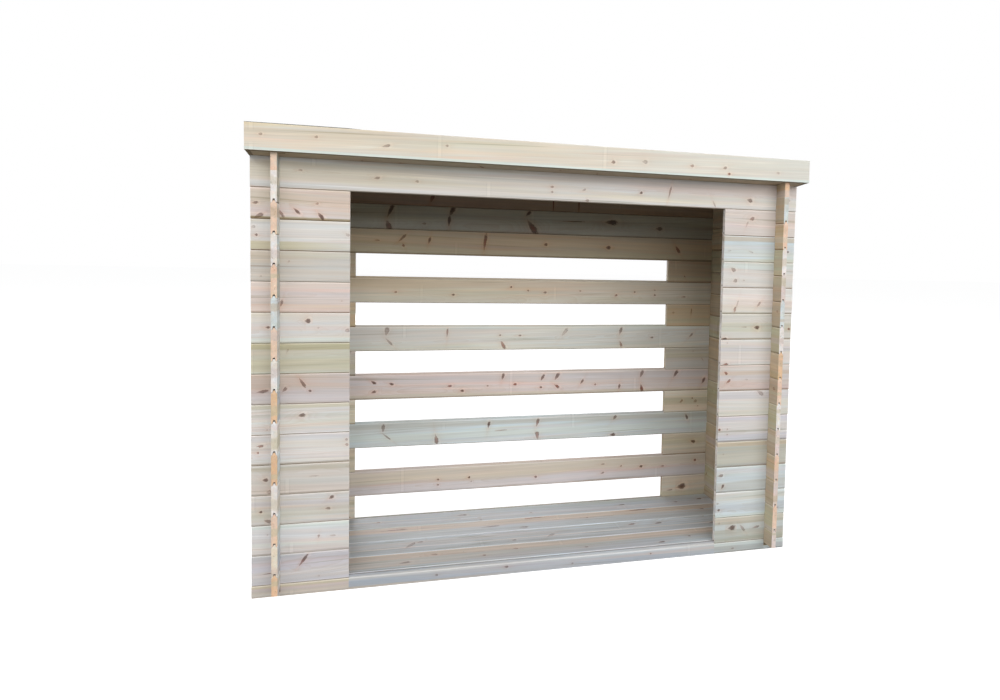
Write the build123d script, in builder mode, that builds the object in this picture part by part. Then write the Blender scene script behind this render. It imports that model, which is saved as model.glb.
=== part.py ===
# Log store: an open-fronted pent-roofed shed of interlocking machined logs.
# Front faces -Y, length runs along X, the ground is Z = 0, sizes in mm.
from build123d import *
import os

os.makedirs("parts", exist_ok=True)

# ---- logs ----
log_h = 114.0          # cover height of one log, shoulder to shoulder
log_t = 21.0           # log thickness
bevel = 3.5            # bevel on both faces at every joint
tongue_h = 8.5         # tongue on the top edge
tongue_w = 12.0        # at its root
tongue_taper = 3.5     # each side of the tongue draws in by this much at its tip
groove_fit = 0.5       # clearance each side of a tongue in its groove
groove_spare = 5.5     # the groove is cut this much deeper than the tongue is high
base_trim = 12.0       # sawn off the foot of the lowest logs
end_clear = 31.0       # the lowest side logs' ends are sawn clear of the ground by this much
notch_fit = 0.3        # clearance each side of a log in the notch that it crosses

# ---- walls ----
inside_w = 2032.0      # clear width between the side walls
inside_d = 629.0       # clear depth between the front and back walls
side_ends = 78.0       # front and back logs stand out past the side walls
front_ends = 72.0      # side logs stand out past the front and back walls
opening_w = 1542.0     # doorless opening in the front wall
wall_courses = 14      # whole logs in the front wall, the lintel log included
slot_count = 6         # open courses in the back wall

# ---- floor ----
board_w = 153.0
board_t = 20.0
board_gap_min = 1.5    # least gap beside a floor board
board_end_gap = 2.0    # floor board end to side wall
floor_bearer_w = 45.0
floor_bearer_h = 33.0
floor_bearer_count = 4
floor_bearer_inset = 60.0   # side wall to the middle of the end bearer
floor_bearer_gap = 0.3      # bearer end to the walls that it is nailed to

# ---- roof ----
roof_over = 74.0       # roof frame past the front and back walls
roof_side = 64.0       # roof frame past the side walls
bearer_h = 77.0
plate_seat = 26.0      # reach of the front and rear bearers in over their walls
mid_bearer_w = 45.0
roof_board_t = 18.0
trim_t = 18.0          # fascia and barge boards
felt_t = 3.0

# ---- derived places ----
quarter = log_h / 4
out_w = inside_w + 2 * log_t
out_d = inside_d + 2 * log_t
half_w = out_w / 2
half_d = out_d / 2
wall_len = out_w + 2 * side_ends
side_len = out_d + 2 * front_ends
sill_h = log_h / 2 - base_trim
side_foot_h = log_h - base_trim
wall_top = sill_h + wall_courses * log_h
short_len = (wall_len - opening_w) / 2
wall_mid_x = half_w - log_t / 2
wall_mid_y = half_d - log_t / 2
notch_w = log_t + 2 * notch_fit
fall = log_h / 2       # the roof drops half a log over the depth of the walls
plate_w = roof_over + plate_seat
trim_h = bearer_h + roof_board_t   # the trim boards hide the bearers and the boards on them


def roof_z(y):
    """Height of the underside of the roof: a plane that drops from front to back."""
    return wall_top - fall * (y + half_d) / out_d


def log_section(mid, low, top, groove=True, tongue=True):
    """Corner points of a log's cross-section, across its thickness and up."""
    a = mid - log_t / 2
    b = mid + log_t / 2
    foot = bevel if groove else 0.0
    head = bevel if tongue else 0.0
    points = [(a, low + foot), (a, top - head), (a + head, top)]
    if tongue:
        points += [(mid - tongue_w / 2, top), (mid - tongue_w / 2 + tongue_taper, top + tongue_h)]
        points += [(mid + tongue_w / 2 - tongue_taper, top + tongue_h), (mid + tongue_w / 2, top)]
    points += [(b - head, top), (b, top - head), (b, low + foot), (b - foot, low)]
    if groove:
        half = tongue_w / 2 + groove_fit
        roof = low + tongue_h + groove_spare
        points += [(mid + half, low), (mid + half - tongue_taper, roof)]
        points += [(mid - half + tongue_taper, roof), (mid - half, low)]
    points += [(a + foot, low)]
    kept = [points[0]]
    for point in points[1:]:
        if point != kept[-1]:
            kept.append(point)
    return kept


def cross_notches(levels, y):
    """Cuts a wall log at y, where it crosses both side walls, a quarter log up and down from each level."""
    with Locations(*[(x, y, level) for level in levels for x in (-wall_mid_x, wall_mid_x)]):
        Box(notch_w, log_t + 2, 2 * quarter, mode=Mode.SUBTRACT)


def side_notches(levels):
    """Cuts the side logs, where they cross the front and back walls, a quarter log up and down from each level."""
    places = [(x, y, z) for z in levels for x in (-wall_mid_x, wall_mid_x) for y in (-wall_mid_y, wall_mid_y)]
    with Locations(*places):
        Box(log_t + 2, notch_w, 2 * quarter, mode=Mode.SUBTRACT)


wall_joint = [sill_h + i * log_h for i in range(wall_courses + 1)]
side_joint = [side_foot_h + i * log_h for i in range(wall_courses)]
low_notch = -base_trim  # the joint that the foot of a side wall log would have

# ======== front wall ========
# Foot: half a log that runs the whole length, under the opening too.
with BuildPart() as front_sill_log:
    with BuildSketch(Plane.YZ):
        Polygon(*log_section(-wall_mid_y, 0, sill_h, groove=False), align=None)
    extrude(amount=wall_len / 2, both=True)
    cross_notches([sill_h], -wall_mid_y)
front_sill_log.part.label = "front_sill_log"
export_step(front_sill_log.part, "parts/front_sill_log.step")

# Short logs each side of the opening, every other course in one node, so they don't touch.
with BuildPart() as front_short_logs_lower_set:
    for i in range(0, wall_courses - 1, 2):
        for start in (-wall_len / 2, wall_len / 2 - short_len):
            with BuildSketch(Plane.YZ.offset(start)):
                Polygon(*log_section(-wall_mid_y, wall_joint[i], wall_joint[i + 1]), align=None)
            extrude(amount=short_len)
    cross_notches(wall_joint[:-1], -wall_mid_y)
front_short_logs_lower_set.part.label = "front_short_logs_a"
export_step(front_short_logs_lower_set.part, "parts/front_short_logs_a.step")

with BuildPart() as front_short_logs_upper_set:
    for i in range(1, wall_courses - 1, 2):
        for start in (-wall_len / 2, wall_len / 2 - short_len):
            with BuildSketch(Plane.YZ.offset(start)):
                Polygon(*log_section(-wall_mid_y, wall_joint[i], wall_joint[i + 1]), align=None)
            extrude(amount=short_len)
    cross_notches(wall_joint[:-1], -wall_mid_y)
front_short_logs_upper_set.part.label = "front_short_logs_b"
export_step(front_short_logs_upper_set.part, "parts/front_short_logs_b.step")

# Lintel: the top log, whole length, its top planed to the roof's fall.
with BuildPart() as front_lintel_log:
    with BuildSketch(Plane.YZ):
        Polygon(*log_section(-wall_mid_y, wall_joint[-2], wall_top, tongue=False), align=None)
    extrude(amount=wall_len / 2, both=True)
    cross_notches([wall_joint[-2], wall_joint[-1]], -wall_mid_y)
    with BuildSketch(Plane.YZ):
        Polygon(
            (-half_d - 1, roof_z(-half_d - 1)),
            (-half_d + log_t + 1, roof_z(-half_d + log_t + 1)),
            (-half_d + log_t + 1, wall_top + log_h),
            (-half_d - 1, wall_top + log_h),
            align=None,
        )
    extrude(amount=wall_len / 2 + 1, both=True, mode=Mode.SUBTRACT)
front_lintel_log.part.label = "front_lintel_log"
export_step(front_lintel_log.part, "parts/front_lintel_log.step")

# ======== back wall ========
with BuildPart() as back_sill_log:
    with BuildSketch(Plane.YZ):
        Polygon(*log_section(wall_mid_y, 0, sill_h, groove=False), align=None)
    extrude(amount=wall_len / 2, both=True)
    cross_notches([sill_h], wall_mid_y)
back_sill_log.part.label = "back_sill_log"
export_step(back_sill_log.part, "parts/back_sill_log.step")

# Short end logs leave one log-high slot in every other course.
with BuildPart() as back_short_logs:
    for i in range(0, 2 * slot_count, 2):
        for start in (-wall_len / 2, wall_len / 2 - short_len):
            with BuildSketch(Plane.YZ.offset(start)):
                Polygon(*log_section(wall_mid_y, wall_joint[i], wall_joint[i + 1]), align=None)
            extrude(amount=short_len)
    cross_notches(wall_joint[:-1], wall_mid_y)
back_short_logs.part.label = "back_short_logs"
export_step(back_short_logs.part, "parts/back_short_logs.step")

# Slats: the whole logs between the slots, carried on the short logs.
with BuildPart() as back_slat_logs:
    for i in range(1, 2 * slot_count - 1, 2):
        with BuildSketch(Plane.YZ):
            Polygon(*log_section(wall_mid_y, wall_joint[i], wall_joint[i + 1]), align=None)
        extrude(amount=wall_len / 2, both=True)
    cross_notches(wall_joint[:-1], wall_mid_y)
back_slat_logs.part.label = "back_slat_logs"
export_step(back_slat_logs.part, "parts/back_slat_logs.step")

# Closed logs above the slots.
for i in range(2 * slot_count - 1, wall_courses - 1):
    name = "back_closed_log_" + str(i - 2 * slot_count + 2)
    with BuildPart() as back_closed_log:
        with BuildSketch(Plane.YZ):
            Polygon(*log_section(wall_mid_y, wall_joint[i], wall_joint[i + 1]), align=None)
        extrude(amount=wall_len / 2, both=True)
        cross_notches([wall_joint[i], wall_joint[i + 1]], wall_mid_y)
    back_closed_log.part.label = name
    export_step(back_closed_log.part, "parts/" + name + ".step")

# Top log, sawn to the roof's fall.
with BuildPart() as back_top_log:
    with BuildSketch(Plane.YZ):
        Polygon(*log_section(wall_mid_y, wall_joint[-2], wall_top, tongue=False), align=None)
    extrude(amount=wall_len / 2, both=True)
    cross_notches([wall_joint[-2]], wall_mid_y)
    with BuildSketch(Plane.YZ):
        Polygon(
            (half_d - log_t - 1, roof_z(half_d - log_t - 1)),
            (half_d + 1, roof_z(half_d + 1)),
            (half_d + 1, wall_top + log_h),
            (half_d - log_t - 1, wall_top + log_h),
            align=None,
        )
    extrude(amount=wall_len / 2 + 1, both=True, mode=Mode.SUBTRACT)
back_top_log.part.label = "back_top_log"
export_step(back_top_log.part, "parts/back_top_log.step")

# ======== side walls, one node for each course, left and right ========
with BuildPart() as side_foot_logs:
    for x in (-wall_mid_x, wall_mid_x):
        with BuildSketch(Plane.XZ):
            Polygon(*log_section(x, 0, side_foot_h, groove=False), align=None)
        extrude(amount=side_len / 2, both=True)
    side_notches([low_notch, side_foot_h])
    end_mid = half_d + front_ends / 2 + 1
    with Locations(*[(x, y, 0) for x in (-wall_mid_x, wall_mid_x) for y in (-end_mid, end_mid)]):
        Box(log_t + 2, front_ends + 2, 2 * end_clear, mode=Mode.SUBTRACT)
side_foot_logs.part.label = "side_logs_foot"
export_step(side_foot_logs.part, "parts/side_logs_foot.step")

for i in range(wall_courses - 1):
    name = "side_logs_" + str(i + 1).zfill(2)
    last = i == wall_courses - 2
    with BuildPart() as side_logs:
        for x in (-wall_mid_x, wall_mid_x):
            with BuildSketch(Plane.XZ):
                Polygon(*log_section(x, side_joint[i], side_joint[i + 1], tongue=not last), align=None)
            extrude(amount=side_len / 2, both=True)
        side_notches([side_joint[i], side_joint[i + 1]])
        if last:
            # the back ends are planed to the roof's fall
            with BuildSketch(Plane.YZ):
                Polygon(
                    (-side_len, roof_z(-side_len)),
                    (side_len, roof_z(side_len)),
                    (side_len, wall_top + log_h),
                    (-side_len, wall_top + log_h),
                    align=None,
                )
            extrude(amount=half_w + 1, both=True, mode=Mode.SUBTRACT)
    side_logs.part.label = name
    export_step(side_logs.part, "parts/" + name + ".step")

# Top logs taper away to the back under the roof's fall.
taper_end = half_d - log_t - 10.0
with BuildPart() as side_top_logs:
    for x in (-wall_mid_x, wall_mid_x):
        with BuildSketch(Plane.YZ.offset(x - log_t / 2)):
            Polygon(
                (-side_len / 2, side_joint[-1]),
                (taper_end, side_joint[-1]),
                (taper_end, roof_z(taper_end)),
                (-side_len / 2, roof_z(-side_len / 2)),
                align=None,
            )
        extrude(amount=log_t)
        with Locations((x, -wall_mid_y, side_joint[-1])):
            Box(log_t + 2, notch_w, 2 * quarter, mode=Mode.SUBTRACT)
side_top_logs.part.label = "side_logs_top"
export_step(side_top_logs.part, "parts/side_logs_top.step")

# ======== floor ========
floor_bearer_span = inside_w - 2 * floor_bearer_inset
with BuildPart() as floor_bearers:
    for i in range(floor_bearer_count):
        x = -floor_bearer_span / 2 + i * floor_bearer_span / (floor_bearer_count - 1)
        with Locations((x, 0, floor_bearer_h / 2)):
            Box(floor_bearer_w, inside_d - 2 * floor_bearer_gap, floor_bearer_h)
floor_bearers.part.label = "floor_bearers"
export_step(floor_bearers.part, "parts/floor_bearers.step")

board_count = int((inside_d - board_gap_min) // (board_w + board_gap_min))
board_gap = (inside_d - board_count * board_w) / (board_count + 1)
with BuildPart() as floor_boards:
    for i in range(board_count):
        y = -inside_d / 2 + board_gap + board_w / 2 + i * (board_w + board_gap)
        with Locations((0, y, floor_bearer_h + board_t / 2)):
            Box(inside_w - 2 * board_end_gap, board_w, board_t)
floor_boards.part.label = "floor_boards"
export_step(floor_boards.part, "parts/floor_boards.step")

# ======== roof ========
frame_half_y = half_d + roof_over
frame_half_x = half_w + roof_side
trim_half_y = frame_half_y + trim_t
trim_half_x = frame_half_x + trim_t


def slab(y0, y1, low, high):
    """Four corners of a slab that follows the roof's fall, seen from the side."""
    return [(y0, roof_z(y0) + low), (y1, roof_z(y1) + low), (y1, roof_z(y1) + high), (y0, roof_z(y0) + high)]


with BuildPart() as roof_bearer_front:
    with BuildSketch(Plane.YZ):
        Polygon(*slab(-frame_half_y, -frame_half_y + plate_w, 0, bearer_h), align=None)
    extrude(amount=frame_half_x, both=True)
roof_bearer_front.part.label = "roof_bearer_front"
export_step(roof_bearer_front.part, "parts/roof_bearer_front.step")

with BuildPart() as roof_bearer_middle:
    with BuildSketch(Plane.YZ):
        Polygon(*slab(-mid_bearer_w / 2, mid_bearer_w / 2, 0, bearer_h), align=None)
    extrude(amount=frame_half_x, both=True)
roof_bearer_middle.part.label = "roof_bearer_middle"
export_step(roof_bearer_middle.part, "parts/roof_bearer_middle.step")

with BuildPart() as roof_bearer_rear:
    with BuildSketch(Plane.YZ):
        Polygon(*slab(frame_half_y - plate_w, frame_half_y, 0, bearer_h), align=None)
    extrude(amount=frame_half_x, both=True)
roof_bearer_rear.part.label = "roof_bearer_rear"
export_step(roof_bearer_rear.part, "parts/roof_bearer_rear.step")

with BuildPart() as roof_deck:
    with BuildSketch(Plane.YZ):
        Polygon(*slab(-frame_half_y, frame_half_y, bearer_h, bearer_h + roof_board_t), align=None)
    extrude(amount=frame_half_x, both=True)
roof_deck.part.label = "roof_deck"
export_step(roof_deck.part, "parts/roof_deck.step")

with BuildPart() as roof_felt:
    with BuildSketch(Plane.YZ):
        Polygon(*slab(-trim_half_y, trim_half_y, trim_h, trim_h + felt_t), align=None)
    extrude(amount=trim_half_x, both=True)
roof_felt.part.label = "roof_felt"
export_step(roof_felt.part, "parts/roof_felt.step")

with BuildPart() as fascia_front:
    with BuildSketch(Plane.YZ):
        Polygon(*slab(-trim_half_y, -frame_half_y, 0, trim_h), align=None)
    extrude(amount=trim_half_x, both=True)
fascia_front.part.label = "fascia_front"
export_step(fascia_front.part, "parts/fascia_front.step")

with BuildPart() as fascia_rear:
    with BuildSketch(Plane.YZ):
        Polygon(*slab(frame_half_y, trim_half_y, 0, trim_h), align=None)
    extrude(amount=trim_half_x, both=True)
fascia_rear.part.label = "fascia_rear"
export_step(fascia_rear.part, "parts/fascia_rear.step")

with BuildPart() as barge_board_left:
    with BuildSketch(Plane.YZ.offset(-trim_half_x)):
        Polygon(*slab(-frame_half_y, frame_half_y, 0, trim_h), align=None)
    extrude(amount=trim_t)
barge_board_left.part.label = "barge_board_left"
export_step(barge_board_left.part, "parts/barge_board_left.step")

with BuildPart() as barge_board_right:
    with BuildSketch(Plane.YZ.offset(frame_half_x)):
        Polygon(*slab(-frame_half_y, frame_half_y, 0, trim_h), align=None)
    extrude(amount=trim_t)
barge_board_right.part.label = "barge_board_right"
export_step(barge_board_right.part, "parts/barge_board_right.step")
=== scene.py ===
import math
from functools import partial

import bpy
import numpy as np
from mathutils import Matrix, Vector


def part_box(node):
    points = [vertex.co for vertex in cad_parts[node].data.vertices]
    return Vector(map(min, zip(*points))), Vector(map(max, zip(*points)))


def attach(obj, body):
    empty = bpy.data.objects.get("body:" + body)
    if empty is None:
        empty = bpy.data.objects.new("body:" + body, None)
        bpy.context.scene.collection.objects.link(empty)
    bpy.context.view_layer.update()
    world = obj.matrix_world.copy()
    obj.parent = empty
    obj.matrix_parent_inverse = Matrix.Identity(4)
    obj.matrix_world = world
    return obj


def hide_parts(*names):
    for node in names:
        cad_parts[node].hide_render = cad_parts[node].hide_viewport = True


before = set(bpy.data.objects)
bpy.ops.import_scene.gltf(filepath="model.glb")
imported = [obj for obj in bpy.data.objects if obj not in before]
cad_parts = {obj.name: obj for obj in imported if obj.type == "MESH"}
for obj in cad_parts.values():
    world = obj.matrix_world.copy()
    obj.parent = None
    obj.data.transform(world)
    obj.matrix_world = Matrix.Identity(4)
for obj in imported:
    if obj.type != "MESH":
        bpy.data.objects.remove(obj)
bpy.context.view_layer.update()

# ---------------------------------------------------------------------------
# Foot logs of the front and back walls: half a log each, laid flat on the ground.
# Planed pine with a tongue on top and a notch near each end where the side walls
# cross; the front one has a threshold let in at the opening.
# ---------------------------------------------------------------------------
LOG_H = 0.114            # cover height, shoulder to shoulder
LOG_T = 0.021
BEVEL = 0.0035           # V-joint bevel on both faces
TONGUE_H = 0.0085
TONGUE_HALF = 0.006      # at its root
TONGUE_TAPER = 0.0035
GROOVE_FIT = 0.0005
GROOVE_DEPTH = 0.014     # deeper than the tongue is high, so a small hole shows in a joint's end
SAWN_ARRIS = 0.0008      # corners that have no V-joint are only eased
WORN_AND_HIGHLIT_BAND = 0.005        # strip beside each arris, paler from wear together with a painted highlight
FACE_ROWS = (0.36, 0.64) # shares of a face's height that carry a row of points of their own
CORE = LOG_H / 4         # a notch leaves the middle half of the log
NICK = 0.0001            # half the width of a notch's wall
NOTCH_FIT = 0.0003
OPENING = 1.542
SAW_SLIP = 0.0018        # no two logs are cut to quite the same length

# Colours of the pine: no two logs of a stack match. Some also carry painted shade and painted sheen, as noted
# where they are used.
TINTS = {
    "bone": (0.74, 0.71, 0.69), "chalk": (0.67, 0.655, 0.625), "pale": (0.62, 0.6, 0.568),
    "ice": (0.58, 0.63, 0.64), "mint": (0.61, 0.67, 0.635), "lilac": (0.575, 0.555, 0.575),
    "pink": (0.65, 0.565, 0.53), "salmon": (0.66, 0.545, 0.485), "rose": (0.575, 0.5, 0.465),
    "cream": (0.64, 0.58, 0.485), "straw": (0.59, 0.54, 0.435), "khaki": (0.52, 0.48, 0.34),
    "moss": (0.525, 0.515, 0.435), "olive": (0.43, 0.39, 0.24), "drab": (0.445, 0.445, 0.4),
    "slate": (0.46, 0.495, 0.53), "tan": (0.5, 0.41, 0.3), "honey": (0.57, 0.455, 0.31),
    "peach": (0.72, 0.54, 0.42), "amber": (0.69, 0.48, 0.315), "brown": (0.33, 0.25, 0.19),
    "linen": (0.56, 0.53, 0.485), "butter": (0.73, 0.66, 0.545), "sage": (0.63, 0.64, 0.595),
    "rust": (0.6, 0.42, 0.24), "steel": (0.4, 0.43, 0.47), "dusk": (0.33, 0.315, 0.26),
}
luck = np.random.default_rng(114)


def log_profile(low, top, groove=True, tongue=True, half=LOG_T / 2):
    """Cross-section of a log as a ring of points, run anticlockwise with the thickness to the right and up.
    Columns: across, height, how rubbed the point is (1 on the arrises, 0 inside the worn band: wear together
    with a painted highlight), and share of the height (0 foot, 1 head). With it go the face that each side
    belongs to, and how dark that side is: grime together with painted shade on the downward bevel and in the
    groove; below 0, a painted highlight on the upward bevel."""
    foot = BEVEL if groove else SAWN_ARRIS
    head = BEVEL if tongue else SAWN_ARRIS
    dip = GROOVE_DEPTH if groove else 0.0
    rise = TONGUE_H if tongue else 0.0
    slot_half = TONGUE_HALF + GROOVE_FIT
    under = [(-half + foot, low), (-slot_half, low), (-slot_half + TONGUE_TAPER, low + dip),
             (slot_half - TONGUE_TAPER, low + dip), (slot_half, low), (half - foot, low)]
    over = [(half - head, top), (TONGUE_HALF, top), (TONGUE_HALF - TONGUE_TAPER, top + rise),
            (-TONGUE_HALF + TONGUE_TAPER, top + rise), (-TONGUE_HALF, top), (-half + head, top)]
    a, b = low + foot, top - head
    rows = np.array([a, a + WORN_AND_HIGHLIT_BAND, *(a + (b - a) * row for row in FACE_ROWS), b - WORN_AND_HIGHLIT_BAND, b])
    shares = (rows - a) / (b - a)
    rubs_and_highlights = np.array([1, 0, 0, 0, 0, 1.0])
    ring = [(x, z, 1.0, 0.0) for x, z in under]
    ring += [(half, z, r, s) for z, r, s in zip(rows, rubs_and_highlights, shares)]
    ring += [(x, z, 1.0, 1.0) for x, z in over]
    ring += [(-half, z, r, s) for z, r, s in zip(rows[::-1], rubs_and_highlights, shares[::-1])]
    faces = [""] * 5 + ["plus"] * 7 + [""] * 5 + ["minus"] * 7
    # A joint's downward bevel and groove are darkened: grime together with painted shade. Its upward bevel
    # gets a value below 0, which lightens it: a painted highlight.
    joint, highlit_lip = (0.85, -0.5) if groove or tongue else (0.1, -0.2)
    soot = [1.0] * 5 + [joint] + [0.0] * 5 + [highlit_lip] + [0.3] * 5 + [highlit_lip] + [0.0] * 5 + [joint]
    return np.array(ring), faces, soot


def scatter_knots(start, end, low, high, apart=0.42):
    """Knots strewn over one face, about one to each length 'apart'. Rows of: place along, place up,
    radius, stretch, lean, darkness. About a third are spikes: branches cut lengthwise, long and steep."""
    n = max(1, luck.poisson((end - start) / apart))
    along = np.sort(luck.uniform(start + 0.02, end - 0.02, n))
    up = low + (high - low) * luck.uniform(0.12, 0.88, n)
    radius = 0.0026 + 0.0060 * luck.random(n) ** 2.4
    spike = luck.random(n) < 0.35
    stretch = np.where(spike, luck.uniform(2.6, 6.5, n), luck.uniform(1.0, 1.7, n))
    lean = np.where(spike, luck.uniform(0.9, 2.2, n), luck.uniform(-0.4, 0.4, n))
    radius = np.where(spike, radius * 0.8, radius)
    dark = luck.uniform(0.35, 1.0, n)
    return np.stack([along, up, radius, stretch, lean, dark], 1)


def set_knots(low, *rows, grown=1.0):
    """Knots given one by one, with their heights measured from low, and their radii grown alike."""
    return np.array(rows, float) * (1, 1, grown, 1, 1, 1) + (0, low, 0, 0, 0, 0)


def stations(start, end, notches, knots, bands, marks):
    """Places along a length where its ring is set: both walls of each notch, midway between knots,
    both ends of each band's fade, and the marks."""
    stops = [start, end, *marks]
    for a, b, low, high in notches:
        stops += [a - NICK, a + NICK, b - NICK, b + NICK]
    for spots in knots.values():
        order = np.sort(spots[:, 0])
        stops += list((order[1:] + order[:-1]) / 2)
    for band in bands:
        stops += band[4:]
    return np.unique(np.round([s for s in stops if start <= s <= end], 6))


def shell(count, around, axis):
    """Quads between the rings of neighbouring stations, and the face that closes each end."""
    i, k = np.meshgrid(np.arange(count - 1), np.arange(around), indexing="ij")
    n = (k + 1) % around
    quads = np.stack([i * around + k, i * around + n, (i + 1) * around + n, (i + 1) * around + k], -1)
    first = np.arange(around)[::-1]
    last = np.arange(around) + (count - 1) * around
    if axis == "y":
        quads, first, last = quads[..., ::-1], first[::-1], last[::-1]
    return quads.reshape(-1, 4), [first.tolist(), last.tolist()]


NO_KNOT = (30.0, 30.0, 0.0, 0.0)    # far off, with no size and no darkness
KNOT_STEP = 0.5                     # a step along the face counts half of one across it


def from_knot(spots, along, corner_s, corner_v):
    """Where each corner lies from the knot nearest to its stretch, in that knot's own radii along and
    across its lean, with the knot's radius and darkness."""
    middle = (along[1:] + along[:-1]) / 2
    row_low, row_high = corner_v.min(1)[:, None], corner_v.max(1)[:, None]
    miss = np.maximum(0, np.maximum(spots[:, 1] - row_high, row_low - spots[:, 1]))
    pick = np.argmin(np.abs(middle[:, None] - spots[:, 0]) * KNOT_STEP + miss, 1)
    place, level, radius, stretch, lean, dark = spots[pick].T[..., None]
    ds, dv = corner_s - place, corner_v - level
    p = (np.cos(lean) * ds + np.sin(lean) * dv) / (radius * stretch)
    q = (-np.sin(lean) * ds + np.cos(lean) * dv) / radius
    return np.stack([p, q, radius + 0 * p, dark + 0 * p], -1)


BANDS = 4                # at most this many to a length
NO_BAND = (9.0, 0.001, "bone", 0.0)


def band_values(band, along, lanes):
    """A band at each point: how many half widths off its middle, and its tint with its strength as alpha."""
    middle, half, tint, strength, *fade = band
    alpha = np.full(len(along), strength)
    if fade:
        whole, gone = fade
        alpha = strength * np.clip((along - gone) / (whole - gone), 0, 1)
    colour = np.tile([*TINTS[tint], 1.0], (len(along) * len(lanes), 1))
    colour[:, 3] = np.repeat(alpha, len(lanes))
    return np.tile((lanes - middle) / half, len(along)), colour


def carried(profile, axis, middle, start, end, tint, knots=None, notches=(), lift=None, pith=None,
            marks=(), bands=()):
    """One length of timber: the profile's ring is carried straight along the axis from start to end.
    Inside a notch the heights run evenly from its floor to its roof, by each point's share; elsewhere
    they are the ring's own, raised by lift(y, share). Each station's points are joined to the next
    station's by quads, and both ends are closed by one face. A tint is one name, or a name by face.
    A band is heartwood along the face: its middle and half width, counted up a log or across a board
    from the ring's low side, its tint and strength, and if it fades, where it is whole and where gone."""
    ring, faces, soot = profile
    knots = knots or {}
    along = stations(start, end, notches, knots, bands, marks)
    count, around = len(along), len(ring)
    across, height, rub, share = ring.T
    upright = np.ptp(height) > np.ptp(across)
    z = np.tile(height, (count, 1))
    s = np.tile(along[:, None], (1, around))
    t = np.tile(middle + across, (count, 1))
    x, y = (s, t) if axis == "x" else (t, s)
    if lift is not None:
        z = z + lift(y, share[None, :])
    for a, b, low, high in notches:
        inside = (along > a) & (along < b)
        top = high(y[inside]) if callable(high) else high
        z[inside] = low + share[None, :] * (top - low)
    quads, caps = shell(count, around, axis)
    cells = (count - 1, around, 4)

    near = np.tile(NO_KNOT, cells + (1,))
    corner_s = s.reshape(-1)[quads].reshape(cells)
    for side, face in enumerate(faces):
        if face in knots:
            flat = z if face in ("plus", "minus") else t
            corner_v = flat.reshape(-1)[quads].reshape(cells)[:, side]
            near[:, side] = from_knot(knots[face], along, corner_s[:, side], corner_v)

    if pith is None:                                # the heart's place, and how far it leans each way
        pith = (luck.choice([-1, 1]) * luck.uniform(0.01, 0.09), luck.uniform(-0.02, 0.13),
                luck.uniform(-0.012, 0.012), luck.uniform(-0.035, 0.035))
    shift = luck.uniform(0, 60)
    run = s - (start + end) / 2
    grain = np.stack([s + shift, np.tile(across, (count, 1)) - pith[0] - pith[2] * run,
                      z - height.min() - pith[1] - pith[3] * run], -1)
    tints = tint if isinstance(tint, dict) else {"": tint}
    own = luck.random()
    brighter = luck.uniform(0.97, 1.025)

    def coat(face):
        return np.array([*np.multiply(TINTS[tints.get(face, tints[""])], brighter), own])

    paint = np.stack([coat(face) for face in faces])[None, :, None, :] * np.ones(cells + (1,))
    lanes = height - height.min() if upright else across - across.min()
    soot = np.array(soot)
    if upright:                                     # some joints are darker than others: grime together with painted shade
        seam = luck.choice([0.0, 0.0, 0.25, 0.6])
        soot = np.where(soot > 0.5, soot * luck.uniform(0.75, 1.2), soot)
        soot[[6, -2]] = seam * soot[[5, -1]]        # it creeps one row up both faces
    return {
        "points": np.stack([x, y, z], -1).reshape(-1, 3), "faces": quads.tolist(), "caps": caps,
        "grain": grain.reshape(-1, 3), "rub": np.tile(rub, count), "near": near.reshape(-1, 4),
        "bands": [band_values(band, along, lanes) for band in [*bands, *[NO_BAND] * BANDS][:BANDS]],
        "paint": paint.reshape(-1, 4), "end": coat("end"),
        "soot": (soot[None, :, None] * np.ones(cells)).ravel(),
    }


def seat(name, mesh, material, slot, *nodes):
    """Puts a mesh in the scene as a piece, riding on the frame, in the place of the CAD nodes named."""
    mesh.materials.append(material)
    piece = bpy.data.objects.new(name, mesh)
    bpy.context.scene.collection.objects.link(piece)
    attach(piece, "root")
    if nodes:
        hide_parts(*nodes)


FIELDS = {"FLOAT": "value", "FLOAT_VECTOR": "vector", "FLOAT_COLOR": "color"}


def make_piece(name, lengths, material, slot, *nodes):
    """Joins lengths of timber into one mesh piece with its attributes."""
    faces, near, paint, sawn, soot = [], [], [], [], []
    base = 0
    for one in lengths:
        faces += [[c + base for c in face] for face in one["faces"] + one["caps"]]
        caps = 2 * len(one["caps"][0])
        near += [one["near"], np.tile(NO_KNOT, (caps, 1))]
        paint += [one["paint"], np.tile(one["end"], (caps, 1))]
        sawn += [np.zeros(len(one["near"])), np.ones(caps)]
        soot += [one["soot"], np.zeros(caps)]
        base += len(one["points"])
    mesh = bpy.data.meshes.new(name)
    mesh.from_pydata(np.concatenate([one["points"] for one in lengths]).tolist(), [], faces)
    near = np.concatenate(near)

    def layer(label, kind, domain, values):
        made = mesh.attributes.new(label, kind, domain)
        made.data.foreach_set(FIELDS[kind], np.ascontiguousarray(values, np.float32).ravel())

    layer("grain", "FLOAT_VECTOR", "POINT", np.concatenate([one["grain"] for one in lengths]))
    layer("rub", "FLOAT", "POINT", np.concatenate([one["rub"] for one in lengths]))
    for n in range(BANDS):
        places, colours = zip(*(one["bands"][n] for one in lengths))
        layer(f"band_{n}", "FLOAT", "POINT", np.concatenate(places))
        layer(f"band_tint_{n}", "FLOAT_COLOR", "POINT", np.concatenate(colours))
    layer("tint", "FLOAT_COLOR", "CORNER", np.concatenate(paint))
    layer("knot", "FLOAT_VECTOR", "CORNER", near[:, :3])
    layer("knot_dark", "FLOAT", "CORNER", near[:, 3])
    layer("sawn", "FLOAT", "CORNER", np.concatenate(sawn))
    layer("soot", "FLOAT", "CORNER", np.concatenate(soot))
    seat(name, mesh, material, slot, *nodes)


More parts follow.
